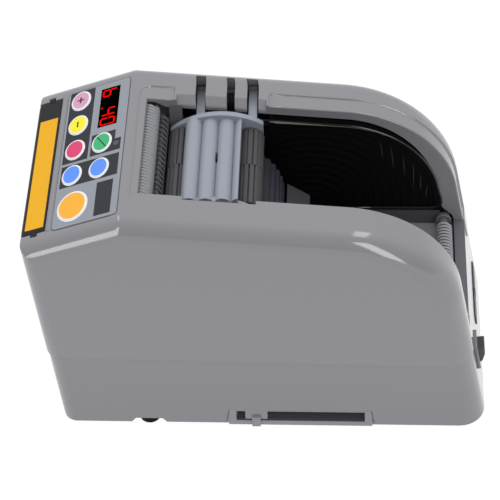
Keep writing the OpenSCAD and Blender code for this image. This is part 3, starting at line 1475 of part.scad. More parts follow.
module power_board() color([0.1, 0.35, 0.2]) {
    z = base_floor + standoff_h;
    translate([power_board_x0, -power_board_half, z])
        cube([power_board_l, 2 * power_board_half, board_t]);
    translate([power_board_x0 + core_in, -core_w / 4, z + board_t / 2])
        cube([core_l, core_w, core_h + board_t / 2]);
    for (i = [-1 : 1]) translate([power_board_x1 - cap_in, i * cap_pitch, z + board_t / 2])
        cylinder(r = cap_r, h = cap_h + board_t / 2);
}

// Measured least gap of each coil to itself.
echo(least_gap_fine_coil = coil_gap(coil_path(fine_coil), wire_r));
echo(least_gap_coarse_coil = coil_gap(coil_path(coarse_coil), wire_r));
echo(least_gap_rear_coil = coil_gap(coil_path(rear_coil), rear_wire_r));

upper_housing();
base_housing();
rubber_feet();
housing_screws();
side_plate_near();
side_plate_far();
well_floor();
well_liner_near();
well_liner_far();
feed_drum();
drum_shaft();
drum_gear();
idler_gear();
idler_pin();
feed_motor();
feed_pinion();
press_carrier();
carrier_hinge_pin();
press_roller_front();
press_roller_rear();
roller_axle_front();
roller_axle_rear();
guide_rod_upper();
guide_coil_upper();
guide_rod_middle();
guide_coil_middle();
guide_rod_lower();
guide_coil_lower();
guide_rod_rear();
guide_coil_rear();
cutter_rotor();
rotor_blade();
fixed_blade();
cutter_gear();
cutter_motor();
cutter_pinion();
front_cover();
panel_overlay();
display_window();
display_module();
control_board();
key_switches();
status_lamp();
button_plus();
button_minus();
button_red();
button_blue_left();
button_green();
button_blue_right();
button_start();
slider_insert();
slide_knob();
power_switch_body();
power_rocker();
power_inlet();
power_board();
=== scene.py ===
import json

import bpy
import numpy as np
from mathutils import Matrix, Vector


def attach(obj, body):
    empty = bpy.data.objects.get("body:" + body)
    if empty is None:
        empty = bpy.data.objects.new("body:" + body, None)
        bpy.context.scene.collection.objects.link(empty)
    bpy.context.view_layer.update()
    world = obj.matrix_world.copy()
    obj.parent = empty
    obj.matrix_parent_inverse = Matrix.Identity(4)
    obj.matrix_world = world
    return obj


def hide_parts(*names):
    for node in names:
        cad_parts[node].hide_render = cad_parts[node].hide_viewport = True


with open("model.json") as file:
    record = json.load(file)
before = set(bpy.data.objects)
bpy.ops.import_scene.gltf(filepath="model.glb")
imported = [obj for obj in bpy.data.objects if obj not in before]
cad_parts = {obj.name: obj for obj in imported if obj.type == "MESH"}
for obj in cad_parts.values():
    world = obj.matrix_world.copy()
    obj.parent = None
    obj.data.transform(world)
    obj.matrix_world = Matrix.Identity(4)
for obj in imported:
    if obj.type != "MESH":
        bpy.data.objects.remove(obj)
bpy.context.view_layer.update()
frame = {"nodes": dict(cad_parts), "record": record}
nodes = frame["nodes"]
scene = bpy.context.scene


# Camera: a long lens above the near side, turned a little to the rear end and rolled as in the
# photograph. Its place was fitted to the housing's edges.
eye_turn, eye_height, eye_roll = np.radians((3.35, 47.37, -1.9))
eye_far = 1.05915
eye_aim = np.array([-0.00761, 0.0, 0.07376])
eye_back = np.array([np.sin(eye_turn) * np.cos(eye_height), -np.cos(eye_turn) * np.cos(eye_height),
                     np.sin(eye_height)])
eye_right = np.array([np.cos(eye_turn), np.sin(eye_turn), 0.0])
eye_up = np.cross(eye_back, eye_right)
rolled_right = np.cos(eye_roll) * eye_right + np.sin(eye_roll) * eye_up
rolled_up = -np.sin(eye_roll) * eye_right + np.cos(eye_roll) * eye_up
eye_rows = np.stack([rolled_right, rolled_up, eye_back, eye_aim + eye_far * eye_back], 1)
camera = bpy.data.objects.new("camera", bpy.data.cameras.new("camera"))
camera.data.lens = 147.35
camera.data.sensor_width = 36
camera.data.clip_start = 0.05
camera.data.clip_end = 10
camera.matrix_world = Matrix([*eye_rows.tolist(), [0, 0, 0, 1]])
scene.collection.objects.link(camera)
scene.camera = camera
scene.view_settings.view_transform = "Standard"


# Studio: white paper under and behind the machine, under a sky that is brightest overhead. In gloss
# the room is white behind the machine and dim behind the camera, with four soft boxes in it.
def add_node(tree, kind, **values):
    """A node of a tree, with values set on its named sockets."""
    node = tree.nodes.new(kind)
    for socket, value in values.items():
        node.inputs[socket.replace("_", " ")].default_value = value
    return node


def join(tree, *pairs):
    """Links of a tree, each from an output to an input."""
    for out, into in pairs:
        tree.links.new(out, into)


world = bpy.data.worlds.new("white_room")
scene.world = world
world.use_nodes = True
sky = world.node_tree
sky.nodes.clear()
sky_out = add_node(sky, "ShaderNodeOutputWorld")
sky_path = add_node(sky, "ShaderNodeLightPath")
sky_way = add_node(sky, "ShaderNodeTexCoord")
sky_axes = add_node(sky, "ShaderNodeSeparateXYZ")
sky_up = add_node(sky, "ShaderNodeMath")
sky_up.operation = "MULTIPLY"
sky_over = add_node(sky, "ShaderNodeMapRange", To_Min=0.25, To_Max=1.85)
sky_back = add_node(sky, "ShaderNodeMapRange", From_Min=-0.4, From_Max=0.4, To_Min=0.25, To_Max=1.0)
sky_fill, sky_room, sky_white = [add_node(sky, "ShaderNodeBackground", Color=(1, 1, 1, 1)) for _ in range(3)]
sky_seen = add_node(sky, "ShaderNodeMath")
sky_seen.operation = "ADD"
sky_seen.use_clamp = True
sky_gloss = add_node(sky, "ShaderNodeMixShader")
sky_mix = add_node(sky, "ShaderNodeMixShader")
join(sky, (sky_way.outputs["Generated"], sky_axes.inputs["Vector"]),
     (sky_axes.outputs["Z"], sky_up.inputs[0]), (sky_axes.outputs["Z"], sky_up.inputs[1]),
     (sky_up.outputs[0], sky_over.inputs["Value"]), (sky_axes.outputs["Y"], sky_back.inputs["Value"]),
     (sky_over.outputs["Result"], sky_fill.inputs["Strength"]),
     (sky_back.outputs["Result"], sky_room.inputs["Strength"]),
     (sky_path.outputs["Is Glossy Ray"], sky_gloss.inputs["Fac"]),
     (sky_fill.outputs[0], sky_gloss.inputs[1]), (sky_room.outputs[0], sky_gloss.inputs[2]),
     (sky_path.outputs["Is Camera Ray"], sky_seen.inputs[0]),
     (sky_path.outputs["Is Transmission Ray"], sky_seen.inputs[1]),
     (sky_seen.outputs[0], sky_mix.inputs["Fac"]), (sky_gloss.outputs[0], sky_mix.inputs[1]),
     (sky_white.outputs[0], sky_mix.inputs[2]), (sky_mix.outputs[0], sky_out.inputs["Surface"]))

paper_corners = 3.0 * np.array([(-1, -1, 0), (1, -1, 0), (1, 1, 0), (-1, 1, 0)])
floor_mesh = bpy.data.meshes.new("floor")
floor_mesh.from_pydata(paper_corners.tolist(), [], [(0, 1, 2, 3)])
floor = bpy.data.objects.new("floor", floor_mesh)
scene.collection.objects.link(floor)
white_paper = bpy.data.materials.new("white_paper")
white_paper.use_nodes = True
paper = white_paper.node_tree
paper.nodes.clear()
paper_out = add_node(paper, "ShaderNodeOutputMaterial")
paper_matt = add_node(paper, "ShaderNodeBsdfDiffuse", Color=(0.86, 0.86, 0.86, 1))
paper_glow = add_node(paper, "ShaderNodeEmission")
paper_path = add_node(paper, "ShaderNodeLightPath")
paper_level = add_node(paper, "ShaderNodeMapRange", To_Min=1.14, To_Max=1.06)
paper_mix = add_node(paper, "ShaderNodeMixShader", Fac=0.9)
join(paper, (paper_path.outputs["Is Camera Ray"], paper_level.inputs["Value"]),
     (paper_level.outputs["Result"], paper_glow.inputs["Strength"]),
     (paper_matt.outputs[0], paper_mix.inputs[1]), (paper_glow.outputs[0], paper_mix.inputs[2]),
     (paper_mix.outputs[0], paper_out.inputs["Surface"]))
floor_mesh.materials.append(white_paper)


def soft_box(name, at, aim, width, height, watts, level=False):
    """A warm rectangular lamp at one point, facing another, that shows in gloss only. A level one has
    its width along X."""
    lamp = bpy.data.objects.new(name, bpy.data.lights.new(name, "AREA"))
    lamp.data.shape = "RECTANGLE"
    lamp.data.size = width
    lamp.data.size_y = height
    lamp.data.energy = watts
    lamp.data.color = (1.0, 0.97, 0.93)
    lamp.visible_diffuse = False
    turn = (Vector(aim) - Vector(at)).to_track_quat("-Z", "Y").to_matrix()
    if level:
        back = turn.col[2]
        up = back.cross(Vector((1, 0, 0))).normalized()
        turn = Matrix((up.cross(back), up, back)).transposed()
    lamp.matrix_world = Matrix.Translation(at) @ turn.to_4x4()
    scene.collection.objects.link(lamp)


soft_box("tall_left_box", (-0.66, -1.10, 0.62), (-0.08, -0.05, 0.4), 0.38, 1.1, 9.5)
soft_box("tall_right_box", (0.68, -1.10, 0.75), (0.06, -0.05, 0.5), 0.38, 1.3, 11.5)
soft_box("back_left_box", (-0.49, 0.31, 1.21), (-0.06, -0.05, 0.15), 0.24, 0.8, 3.0, level=True)
soft_box("back_right_box", (0.47, 0.31, 1.20), (0.05, -0.05, 0.14), 0.24, 0.8, 3.0, level=True)


# Base housing: the lower half of the shell, moulded in grey plastic, with painted shade that darkens it
# towards the floor. It stands on rubber feet, and steel screws hold the halves together. All CAD pieces
# get the small rounded edges that moulded and turned parts have.
edge_round = 0.0003
for obj in nodes.values():
    obj.data.shade_smooth()
    obj.modifiers.new("weld", "WELD").merge_threshold = 1e-5
    round_off = obj.modifiers.new("round_off", "BEVEL")
    round_off.width = edge_round
    round_off.segments = 2
    round_off.limit_method = "ANGLE"
    round_off.angle_limit = np.radians(35)
    obj.modifiers.new("even_shade", "WEIGHTED_NORMAL").weight = 100


def linear(rgb):
    """Linear light of an sRGB colour given as 0 to 255: c / 12.92 near black, and otherwise
    (c + 0.055) / 1.055 to the power 2.4."""
    c = np.array(rgb, float) / 255
    return (*np.where(c <= 0.04045, c / 12.92, ((c + 0.055) / 1.055) ** 2.4), 1)


grain_scale, tint_spread, rough_spread = 2500.0, 0.04, 0.15


def finish(name, rgb, rough, metal=0.0, shine=0.5):
    """Plastic or metal whose colour and roughness vary a little with fine noise on Object coordinates."""
    mat = bpy.data.materials.new(name)
    mat.use_nodes = True
    tree = mat.node_tree
    bsdf = tree.nodes["Principled BSDF"]
    bsdf.inputs["Metallic"].default_value = metal
    bsdf.inputs["Specular IOR Level"].default_value = shine
    place = add_node(tree, "ShaderNodeTexCoord")
    noise = add_node(tree, "ShaderNodeTexNoise", Scale=grain_scale)
    tint = add_node(tree, "ShaderNodeValToRGB")
    base = np.array(linear(rgb)[:3])
    for stop, level in zip(tint.color_ramp.elements, (1 - tint_spread, 1 + tint_spread)):
        stop.color = (*np.clip(base * level, 0, 1), 1)
    gloss = add_node(tree, "ShaderNodeMapRange", To_Min=rough * (1 - rough_spread),
                     To_Max=min(rough * (1 + rough_spread), 1))
    join(tree, (place.outputs["Object"], noise.inputs["Vector"]), (noise.outputs["Fac"], tint.inputs["Fac"]),
         (noise.outputs["Fac"], gloss.inputs["Value"]), (tint.outputs["Color"], bsdf.inputs["Base Color"]),
         (gloss.outputs["Result"], bsdf.inputs["Roughness"]))
    return mat


slot_finish = {}


def dress(slot, *look):
    """Finish of one slot of the record, put on every CAD node that has the slot."""
    slot_finish[slot] = finish(slot, *look)
    for subpart in frame["record"]["subparts"]:
        if subpart["material_slot"] == slot:
            mesh = nodes[subpart["node"]].data
            mesh.materials.clear()
            mesh.materials.append(slot_finish[slot])


def fade(mat, axis, start, stop, share, rgb):
    """Copy of a finish whose colour goes over to another along one Object axis, in millimetres."""
    mat = mat.copy()
    tree = mat.node_tree
    axes = add_node(tree, "ShaderNodeSeparateXYZ")
    way = add_node(tree, "ShaderNodeMapRange", From_Min=start / 1000, From_Max=stop / 1000, To_Max=share)
    mix = add_node(tree, "ShaderNodeMixRGB", Color2=linear(rgb))
    join(tree, (tree.nodes["Texture Coordinate"].outputs["Object"], axes.inputs["Vector"]),
         (axes.outputs[axis], way.inputs["Value"]), (way.outputs["Result"], mix.inputs["Fac"]),
         (tree.nodes["Color Ramp"].outputs["Color"], mix.inputs["Color1"]),
         (mix.outputs["Color"], tree.nodes["Principled BSDF"].inputs["Base Color"]))
    return mat


dress("base_grey", (136, 136, 141), 0.12)
dress("foot_rubber", (9, 9, 10), 0.7, 0, 0.1)
dress("screw_steel", (150, 150, 155), 0.35, 1)
# Painted shade: the base's grey darkens from 48 mm down to 8 mm above the floor.
nodes["base_housing"].data.materials[0] = fade(slot_finish["base_grey"], "Z", 48, 8, 1.0, (131, 131, 136))


# Works: two grey side plates carry steel shafts and pins, white moulded gears, the motors and the
# blades, and green boards carry black switches. Most of it is hidden in the housing.
dress("inner_grey", (84, 84, 90), 0.5, 0, 0.3)
# Shafts and pins get a dark steel grey that holds painted shade, for the pins set deep in the slots.
dress("bright_steel", (60, 60, 63), 0.5, 0.3)
dress("gear_white", (220, 216, 205), 0.45)
dress("motor_steel", (165, 165, 168), 0.35, 1)
dress("blade_steel", (205, 206, 210), 0.2, 1)
dress("board_green", (30, 96, 60), 0.5)
dress("switch_black", (38, 38, 41), 0.45)


# Upper housing: one moulded shell of glossy grey plastic, set on the base at a parting that falls a
# little to the rear. Its skin runs over rings of the side outline, drawn in towards the sides. A depth
# field sinks its seats and ledges, and cells are left out at its openings, with walls turned down.
dress("housing_grey", (139, 139, 144), 0.1)
half_w = 58.0
tilt, fall, front_lean, rear_lean = np.radians((21.5, 4.8, 4.4, 10.6))
part_fall = 0.0196
break_at, part_at = np.array([-66.6, 151.1]), np.array([0.0, 52.6])
front_foot, rear_foot = np.array([-106.0, 0.8]), np.array([116.6, 0.8])
nose_r, least_r, break_r, shoulder_r = 2.0, 0.2, 6.0, 64.6
top_fillet, front_fillet, rear_fillet = 9.0, 8.0, 14.0
n_front = np.array([-np.cos(front_lean), -np.sin(front_lean)])
n_panel = np.array([-np.sin(tilt), np.cos(tilt)])
n_top = np.array([np.sin(fall), np.cos(fall)])
n_rear = np.array([np.cos(rear_lean), np.sin(rear_lean)])
n_part = np.array([part_fall, 1.0])
d_front, d_rear, d_part = n_front @ front_foot, n_rear @ rear_foot, n_part @ part_at
d_panel, d_top = n_panel @ break_at, n_top @ break_at
down = -np.array([np.cos(tilt), np.sin(tilt)])


def meet(na, da, nb, db):
    """Crossing of two straight edges, each given by its normal and its distance."""
    det = na[0] * nb[1] - na[1] * nb[0]
    return np.stack([(da * nb[1] - db * na[1]) / det, (na[0] * db - nb[0] * da) / det], -1)


def side_outline(part, share, dt, df, dr):
    """Outline drawn in by dt at the panel and top, df at the front and dr at the rear. The part is 0
    front, 1 nose, 2 panel, 3 break, 4 top, 5 shoulder or 6 rear, and the share runs 0 to 1 along it.
    Straight parts run between the arcs of nose, break and shoulder, which touch both neighbours."""
    dt, df, dr, share, part = np.broadcast_arrays(dt, df, dr, share, part)
    rn = np.maximum(nose_r - dt, least_r)
    rb = np.full(dt.shape, break_r)
    rs = shoulder_r - (dt + dr) / 2
    cn = meet(n_front, d_front - df - rn, n_panel, d_panel - dt - rn)
    cb = meet(n_panel, d_panel - dt - rb, n_top, d_top - dt - rb)
    cs = meet(n_top, d_top - dt - rs, n_rear, d_rear - dr - rs)
    foot_f = meet(n_front, d_front - df, n_part, d_part)
    foot_r = meet(n_rear, d_rear - dr, n_part, d_part)

    def run(a, b):
        """Straight from a to b."""
        return a + (b - a) * share[..., None]

    def turn(c, r, a, b):
        """Arc about c from angle a to angle b."""
        angle = a + (b - a) * share
        return c + r[..., None] * np.stack([np.cos(angle), np.sin(angle)], -1)

    def off(c, r, n):
        """Point where an arc about c touches the edge with normal n."""
        return c + r[..., None] * n

    right = np.pi / 2
    parts = [run(foot_f, off(cn, rn, n_front)), turn(cn, rn, np.pi + front_lean, right + tilt),
             run(off(cn, rn, n_panel), off(cb, rb, n_panel)), turn(cb, rb, right + tilt, right - fall),
             run(off(cb, rb, n_top), off(cs, rs, n_top)), turn(cs, rs, right - fall, rear_lean),
             run(off(cs, rs, n_rear), foot_r)]
    return np.select([part[..., None] == k for k in range(7)], parts)


def smooth(e):
    """Even step from 0 to 1: e squared times (3 - 2 e)."""
    e = np.clip(e, 0, 1)
    return e * e * (3 - 2 * e)


def lines(*groups):
    """Sorted grid lines. A group is a number, a row of numbers, or a place and a spread, which give a
    close set about the place."""
    close = np.array([-1, -0.72, -0.45, -0.2, 0, 0.2, 0.45, 0.72, 1])
    rows = [g[0] + g[1] * close if np.ndim(g) and len(g) == 2 else np.atleast_1d(g) for g in groups]
    return np.unique(np.round(np.concatenate(rows), 4))


# Forms of the skin: s is the distance down the slope from the break, and a single y is a half width.
seat_deep, ledge_deep, groove_deep, slope_deep, ridge_high, edge_r = 2.4, 0.8, 1.1, 3.6, 0.5, 0.6
mouth_x, mouth_y, mouth_z = -59, 33, 63
ledge_x, ledge_y, ledge_r = -56, 35, 7
relief_x, relief_y = (-37.5, -2.2), -35.3
block_x, slope_x, slope_y, slope_run = (-45, 2), (-44.2, 1.2), 37.2, 4.2
slots, slot_end, slot_foot = ((-32.2, 5.1), (-17.0, 4.1), (-5.9, 5.8)), 52, 129.0
film_s, film_y = (2.8, 34.8), 46.3
groove_s, groove_half, groove_y, groove_r = 18.75, 15.35, 45.8, 2.35
ridge_s, ridge_half, ridge_y = 37.9, 1.3, 47.7
cover_s, cover_gap, cover_y = 40.0, 0.4, 46.9
ear_half, ear_y, ear_back = 1.9, 48.8, 0.8
outlet_z = (111, 122)

# Grid lines of the skin: along the outline by height on the front and rear, by distance down the
# slope from the break on the panel, and by X on the top.
ends = [side_outline(k, np.array([0.0, 1.0]), 0, 0, 0) for k in range(7)]
front_low, front_top = ends[0][:, 1]
rear_top, rear_low = ends[6][:, 1]
top_start, top_stop = ends[4][:, 0]
s_nose, s_break = (ends[2] - break_at) @ down
seat_s = cover_s - cover_gap
seat_cut = meet(n_front, d_front, n_panel, d_panel - seat_deep)[1]
ear_s = ((meet(n_front, d_front, n_panel, d_panel) - break_at) @ down + cover_s) / 2 - ear_back
front_z = lines(front_low, 62, 75, 90, 105, *((z, 0.3) for z in outlet_z), 128, (seat_cut, 0.4), front_top)
panel_s = lines(s_nose, (seat_s, 0.3), (ear_s - ear_half, 0.3), (ear_s + ear_half, 0.3),
                (ridge_s - ridge_half + 0.25, 0.35), (ridge_s + ridge_half - 0.25, 0.35),
                (groove_s + groove_half + 2, 0.25), np.arange(8, 33, 4), 5, *film_s, s_break)
panel_s = panel_s[(panel_s >= s_break) & (panel_s <= s_nose)][::-1]
top_x = lines(top_start, np.arange(-63.6, -55, 0.4), (mouth_x - edge_r / 2, 0.32),
              (relief_x[0] - edge_r / 2, 0.32), (relief_x[1] + edge_r / 2, 0.32),
              *((x, 0.4) for x in block_x), (slope_x[0] + 0.1, 0.3), (slope_x[1] - 0.1, 0.3),
              *(x + side * wide / 2 for x, wide in slots for side in (-1, 1)),
              -50, -40, -25, -12, 10, 20, 30, top_stop)
top_x = top_x[(top_x >= top_start) & (top_x <= top_stop)]
rear_z = lines(rear_top, 82, 74, 67, (mouth_z, 0.5), 61.5, 56, rear_low)[::-1]
line_sets = [(front_z - front_low) / (front_top - front_low), np.linspace(0, 1, 8)[1:-1],
             (s_nose - panel_s) / (s_nose - s_break), np.linspace(0, 1, 10)[1:-1],
             (top_x - top_start) / (top_stop - top_start), np.linspace(0, 1, 72)[1:-1],
             (rear_top - rear_z) / (rear_top - rear_low)]
part = np.repeat(np.arange(7), [len(s) for s in line_sets])
share = np.concatenate(line_sets)
fillet_y = half_w - rear_fillet + rear_fillet * np.sin(np.radians(np.linspace(0, 90, 25)))
side_y = lines(0, 10, 20, 28, (mouth_y + edge_r / 2, 0.32), (edge_r / 2 - relief_y, 0.32),
               np.arange(36, 43, 0.4), slope_y, (ledge_y + ledge_r, 0.5), (cover_y, 0.25),
               (ridge_y + 0.1, 0.3), (ear_y, 0.25), slot_end, fillet_y)
ring_y = np.concatenate([-side_y[::-1], side_y[side_y > 0]])

# Depth field over the grid. Distances are positive inside a form, in millimetres.
plain = side_outline(part, share, 0.0, 0.0, 0.0)
path_x, path_z = plain[:, 0][None], plain[:, 1][None]
path_s = np.select([part == 2, part == 1, part == 0],
                   [(plain - break_at) @ down, s_nose + nose_r * (1 - share),
                    s_nose + nose_r + (front_top - plain[:, 1])], -1.0)[None]
y = ring_y[:, None]
ay = np.abs(y)
in_ledge = ledge_r - np.hypot(np.maximum(ledge_x - path_x, 0), np.maximum(ay - ledge_y, 0))
in_ledge = np.where(part >= 4, np.minimum(in_ledge, path_z - mouth_z), -1.0)
past_block = np.maximum(block_x[0] - path_x, path_x - block_x[1])
in_ledge = np.where(y > 0, np.minimum(in_ledge, past_block), in_ledge)
from_mouth = np.hypot(np.maximum(mouth_x - path_x, 0), np.maximum(ay - mouth_y, 0))
from_relief = np.hypot(np.maximum(np.maximum(relief_x[0] - path_x, path_x - relief_x[1]), 0),
                       np.maximum(relief_y - y, 0))
from_edge = np.where(y < 0, np.minimum(from_mouth, from_relief), from_mouth)
near_edge = np.clip(edge_r - np.where(part >= 4, from_edge, edge_r), 0, edge_r)
seat_end = s_nose + nose_r + front_top - seat_cut
in_cover = np.minimum(np.minimum(cover_y - ay, path_s - seat_s), seat_end - path_s)
in_ear = np.minimum(ear_y - ay, ear_half - np.abs(path_s - ear_s))
in_groove = groove_r - np.hypot(np.maximum(ay - groove_y, 0),
                                np.maximum(np.abs(path_s - groove_s) - groove_half, 0))
in_ridge = np.minimum(ridge_y - ay, ridge_half - np.abs(path_s - ridge_s))
in_slope = smooth(np.minimum(path_x - slope_x[0], slope_x[1] - path_x) / 0.25) * (part == 4) * (y > 0)
depth = (ledge_deep * smooth(in_ledge / 0.6) + edge_r - np.sqrt(np.maximum(edge_r ** 2 - near_edge ** 2, 0))
         + seat_deep * smooth(np.maximum(in_cover, in_ear) / 0.25) + groove_deep * smooth(in_groove / 0.15)
         - ridge_high * smooth(in_ridge / 0.5)
         + slope_deep * np.clip((slope_y - y) / slope_run, 0, 1) * in_slope)


def drawn(r, y):
    """Depth of a side edge rounded by r: r less the height of its arc over y."""
    return r - np.sqrt(np.maximum(r * r - np.maximum(np.abs(y) - half_w + r, 0) ** 2, 0))


def skin(sink):
    """Points of the skin: the outline at each y, drawn in by the side fillets and by a depth field."""
    flat = side_outline(part, share, drawn(top_fillet, y) + sink, drawn(front_fillet, y) + sink,
                        drawn(rear_fillet, y) + sink)
    return np.stack([flat[..., 0], np.broadcast_to(y, flat.shape[:2]), flat[..., 1]], -1)


lip_front_x, lip_wall, lip_deep, lip_rear_deep, inset_deep = -52, 1.6, 5.8, 4.6, 2.5
shell = skin(depth)
lip_rear = np.where(part == 5, smooth(share), part == 6)[None] * smooth((path_z - 66) / 8)
lip_sink = np.where(path_x < lip_front_x, 0, lip_deep + lip_rear_deep * lip_rear)
lip = skin(np.maximum(depth + lip_wall, lip_sink))
slot_low = np.where([True, True, False], shell, slot_foot)
inset = skin(depth + inset_deep)


def between(a):
    """Middles of neighbouring grid lines, as a row."""
    return ((a[1:] + a[:-1]) / 2)[None]


mid_x, mid_z, mid_s, mid_part = between(path_x[0]), between(path_z[0]), between(path_s[0]), part[1:][None]
mid_y = between(ring_y).T
on_top = mid_part >= 4
well_cut = on_top & (mid_x > mouth_x) & (mid_z > mouth_z) & (np.abs(mid_y) < mouth_y)
well_cut |= (on_top & (mid_x > relief_x[0]) & (mid_x < relief_x[1]) & (mid_y < -mouth_y)
             & (mid_y > relief_y))
slot_cut = np.zeros_like(well_cut)
for slot_x, slot_w in slots:
    slot_cut |= on_top & (np.abs(mid_x - slot_x) < slot_w / 2) & (mid_y > mouth_y) & (mid_y < slot_end)
film_cut = (mid_part == 2) & (np.abs(mid_y) < film_y) & (mid_s > film_s[0]) & (mid_s < film_s[1])
outlet_cut = ((mid_part == 0) & (mid_z > outlet_z[0]) & (mid_z < outlet_z[1])
              & (np.abs(mid_y) < mouth_y))
kept = ~(well_cut | slot_cut | film_cut | outlet_cut)


def walls(cut, top, low):
    """Quads from top to low along every grid edge between a cut cell and a kept one."""
    quads = []
    for axis in (0, 1):
        c, k = (cut, kept) if axis == 0 else (cut.T, kept.T)
        a, b = (top, low) if axis == 0 else (top.transpose(1, 0, 2), low.transpose(1, 0, 2))
        for flip in (False, True):
            edge_at = np.argwhere((k[:-1] & c[1:]) if flip else (c[:-1] & k[1:]))
            i, j = edge_at[:, 0] + 1, edge_at[:, 1]
            ring = np.stack([a[i, j], a[i, j + 1], b[i, j + 1], b[i, j]], 1)
            quads.append(ring[:, ::-1] if flip == (axis == 0) else ring)
    return np.concatenate(quads)


def bands(rings):
    """Quads between neighbouring closed rings, given as rows of point numbers."""
    after = np.roll(rings, -1, 1)
    return np.stack([rings[:-1], after[:-1], after[1:], rings[1:]], -1).reshape(-1, 4)


def add_piece(name, points, faces, body, slot, *mats, stands_for=()):
    """A smooth mesh, in millimetres, that rides on a body and takes the finish of a record slot."""
    mesh = bpy.data.meshes.new(name)
    mesh.from_pydata((np.asarray(points, float) / 1000).tolist(), [], [list(map(int, f)) for f in faces])
    mesh.shade_smooth()
    for mat in mats or (slot_finish[slot],):
        mesh.materials.append(mat)
    piece = bpy.data.objects.new(name, mesh)
    scene.collection.objects.link(piece)
    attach(piece, body)
    if stands_for:
        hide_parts(*stands_for)
    return piece


side_lap = 0.4
foot_in, line_in = np.array([0.978, 0.957, 1]), np.array([0.9955, 0.9925, 1])
line_high = np.array([0, 0, 0.6])
n_y, n_t = shell.shape[:2]
index = np.arange(n_y * n_t).reshape(n_y, n_t)
cells = np.stack([index[:-1, :-1], index[:-1, 1:], index[1:, 1:], index[1:, :-1]], -1)[kept]
side_in = side_outline(part, share, top_fillet + side_lap, front_fillet + side_lap, rear_fillet + side_lap)
side_rows = np.stack([np.stack([side_in[:, 0], np.full(n_t, s * half_w), side_in[:, 1]], -1)
                      for s in (-1, 1)])
row = n_y * n_t + np.arange(2 * n_t).reshape(2, n_t)
side_cells = np.concatenate([np.stack([row[0, :-1], row[0, 1:], index[0, 1:], index[0, :-1]], -1),
                             np.stack([index[-1, :-1], index[-1, 1:], row[1, 1:], row[1, :-1]], -1)])
loop = np.concatenate([shell[:, 0], shell[::-1, -1]])
loop_next = np.roll(loop, -1, 0)
turned = np.concatenate([walls(well_cut, shell, lip), walls(slot_cut, shell, slot_low),
                         walls(film_cut, shell, inset), walls(outlet_cut, shell, inset),
                         np.stack([loop, loop_next, loop_next * foot_in, loop * foot_in], 1)])
first = (n_y + 2) * n_t
skin_points = np.concatenate([shell.reshape(-1, 3), side_rows.reshape(-1, 3), turned.reshape(-1, 3)])
add_piece("upper_housing_skin", skin_points,
          [*cells, *side_cells, row[0][::-1], row[1], *(first + np.arange(4 * len(turned)).reshape(-1, 4))],
          "housing", "housing_grey", stands_for=("upper_housing",))
# A thin darker band just inside the skin's lower edge is painted shade under the step at the parting.
rim = loop * line_in
rim_grid = np.arange(2 * len(rim)).reshape(2, -1)
add_piece("parting_shade_line", np.concatenate([rim, rim - line_high]), bands(rim_grid), "housing", "base_grey",
          finish("parting_shade_grey", (122, 122, 127), 0.5, 0, 0.2))


# Film: a printed foil on the panel. Its dark fields are thin flat sheets that run on under the key caps,
# and so is the white oval that edges each key. A dim disc lies over the lamp.
def on_panel(s, y, w):
    """Points of the panel: s along the slope down from the break, y across and w along its normal."""
    s, y, w = np.broadcast_arrays(s, y, w)
    x = break_at[0] + s * down[0] + w * n_panel[0]
    return np.stack([x, y, break_at[1] + s * down[1] + w * n_panel[1]], -1)


def oval(s, y, a, b, count=72):
    """Closed oval about a point of the panel: (s + a cos t, y + b sin t)."""
    turn = np.arange(count) * 2 * np.pi / count
    return np.stack([s + a * np.cos(turn), y + b * np.sin(turn)], -1)


def oblong(s0, y0, s1, y1):
    """Corners of an oblong on the panel."""
    return [(s0, y0), (s1, y0), (s1, y1), (s0, y1)]


def printed(name, body, w, line, mat, slot="overlay_film"):
    """Flat sheet on the panel, w above it, inside a closed line that turns from s towards y."""
    s, y = np.asarray(line, float).T
    add_piece(name, on_panel(s, y, w), [range(len(s))[::-1]], body, slot, mat)


dress("overlay_film", (148, 152, 161), 0.45, 0, 0.3)
dress("lamp_grey", (150, 152, 156), 0.4)
dark_ink = finish("dark_ink", (56, 57, 62), 0.55, 0, 0.12)
white_ink = finish("white_ink", (240, 240, 245), 0.5, 0, 0.2)
lamp_ink = finish("lamp_ink", (92, 94, 100), 0.5, 0, 0.1)
film_top = 0.2
field_w, mark_w, rim_w = film_top + 0.03, film_top + 0.04, film_top + 0.06
low_row, high_row = 28.5, 13.75
plus_y, minus_y, red_y, blue_y = 39.9, 22.23, 4.56, -13.11
cap_size, start_size = (5.0, 6.3), (7.4, 8.9)
keys = {"plus": (low_row, plus_y, *cap_size), "minus": (low_row, minus_y, *cap_size),
        "red": (low_row, red_y, *cap_size), "blue_left": (low_row, blue_y, *cap_size),
        "green": (high_row, red_y, *cap_size), "blue_right": (high_row, blue_y, *cap_size),
        "start": (26.0, -35.0, *start_size)}
lamp_at, lamp_r = (5.75, 1.6), 1.55
fields = {"field_settings": oblong(21, -4, 34.9, 47.3), "field_steps": oblong(3.3, -20.7, 34.7, -5.8),
          "field_mode": [(3.2, -3.4), (19.7, -3.4), (19.7, 11.4), (6.6, 11.4), (6.6, 4.9), (3.2, 4.9)],
          "field_bare": oblong(5, -45.8, 13.8, -23.3)}
for name, line in fields.items():
    printed(name, "housing", field_w, line, dark_ink)
printed("lamp_rim", "housing", mark_w, oval(*lamp_at, lamp_r, lamp_r), lamp_ink)
for name, (s, y, a, b) in keys.items():
    wide_s, wide_y = (0.8, 1.0) if name == "start" else (0.5, 0.65)
    printed("rim_" + name, "housing", rim_w, oval(s, y, a + wide_s, b + wide_y), white_ink)


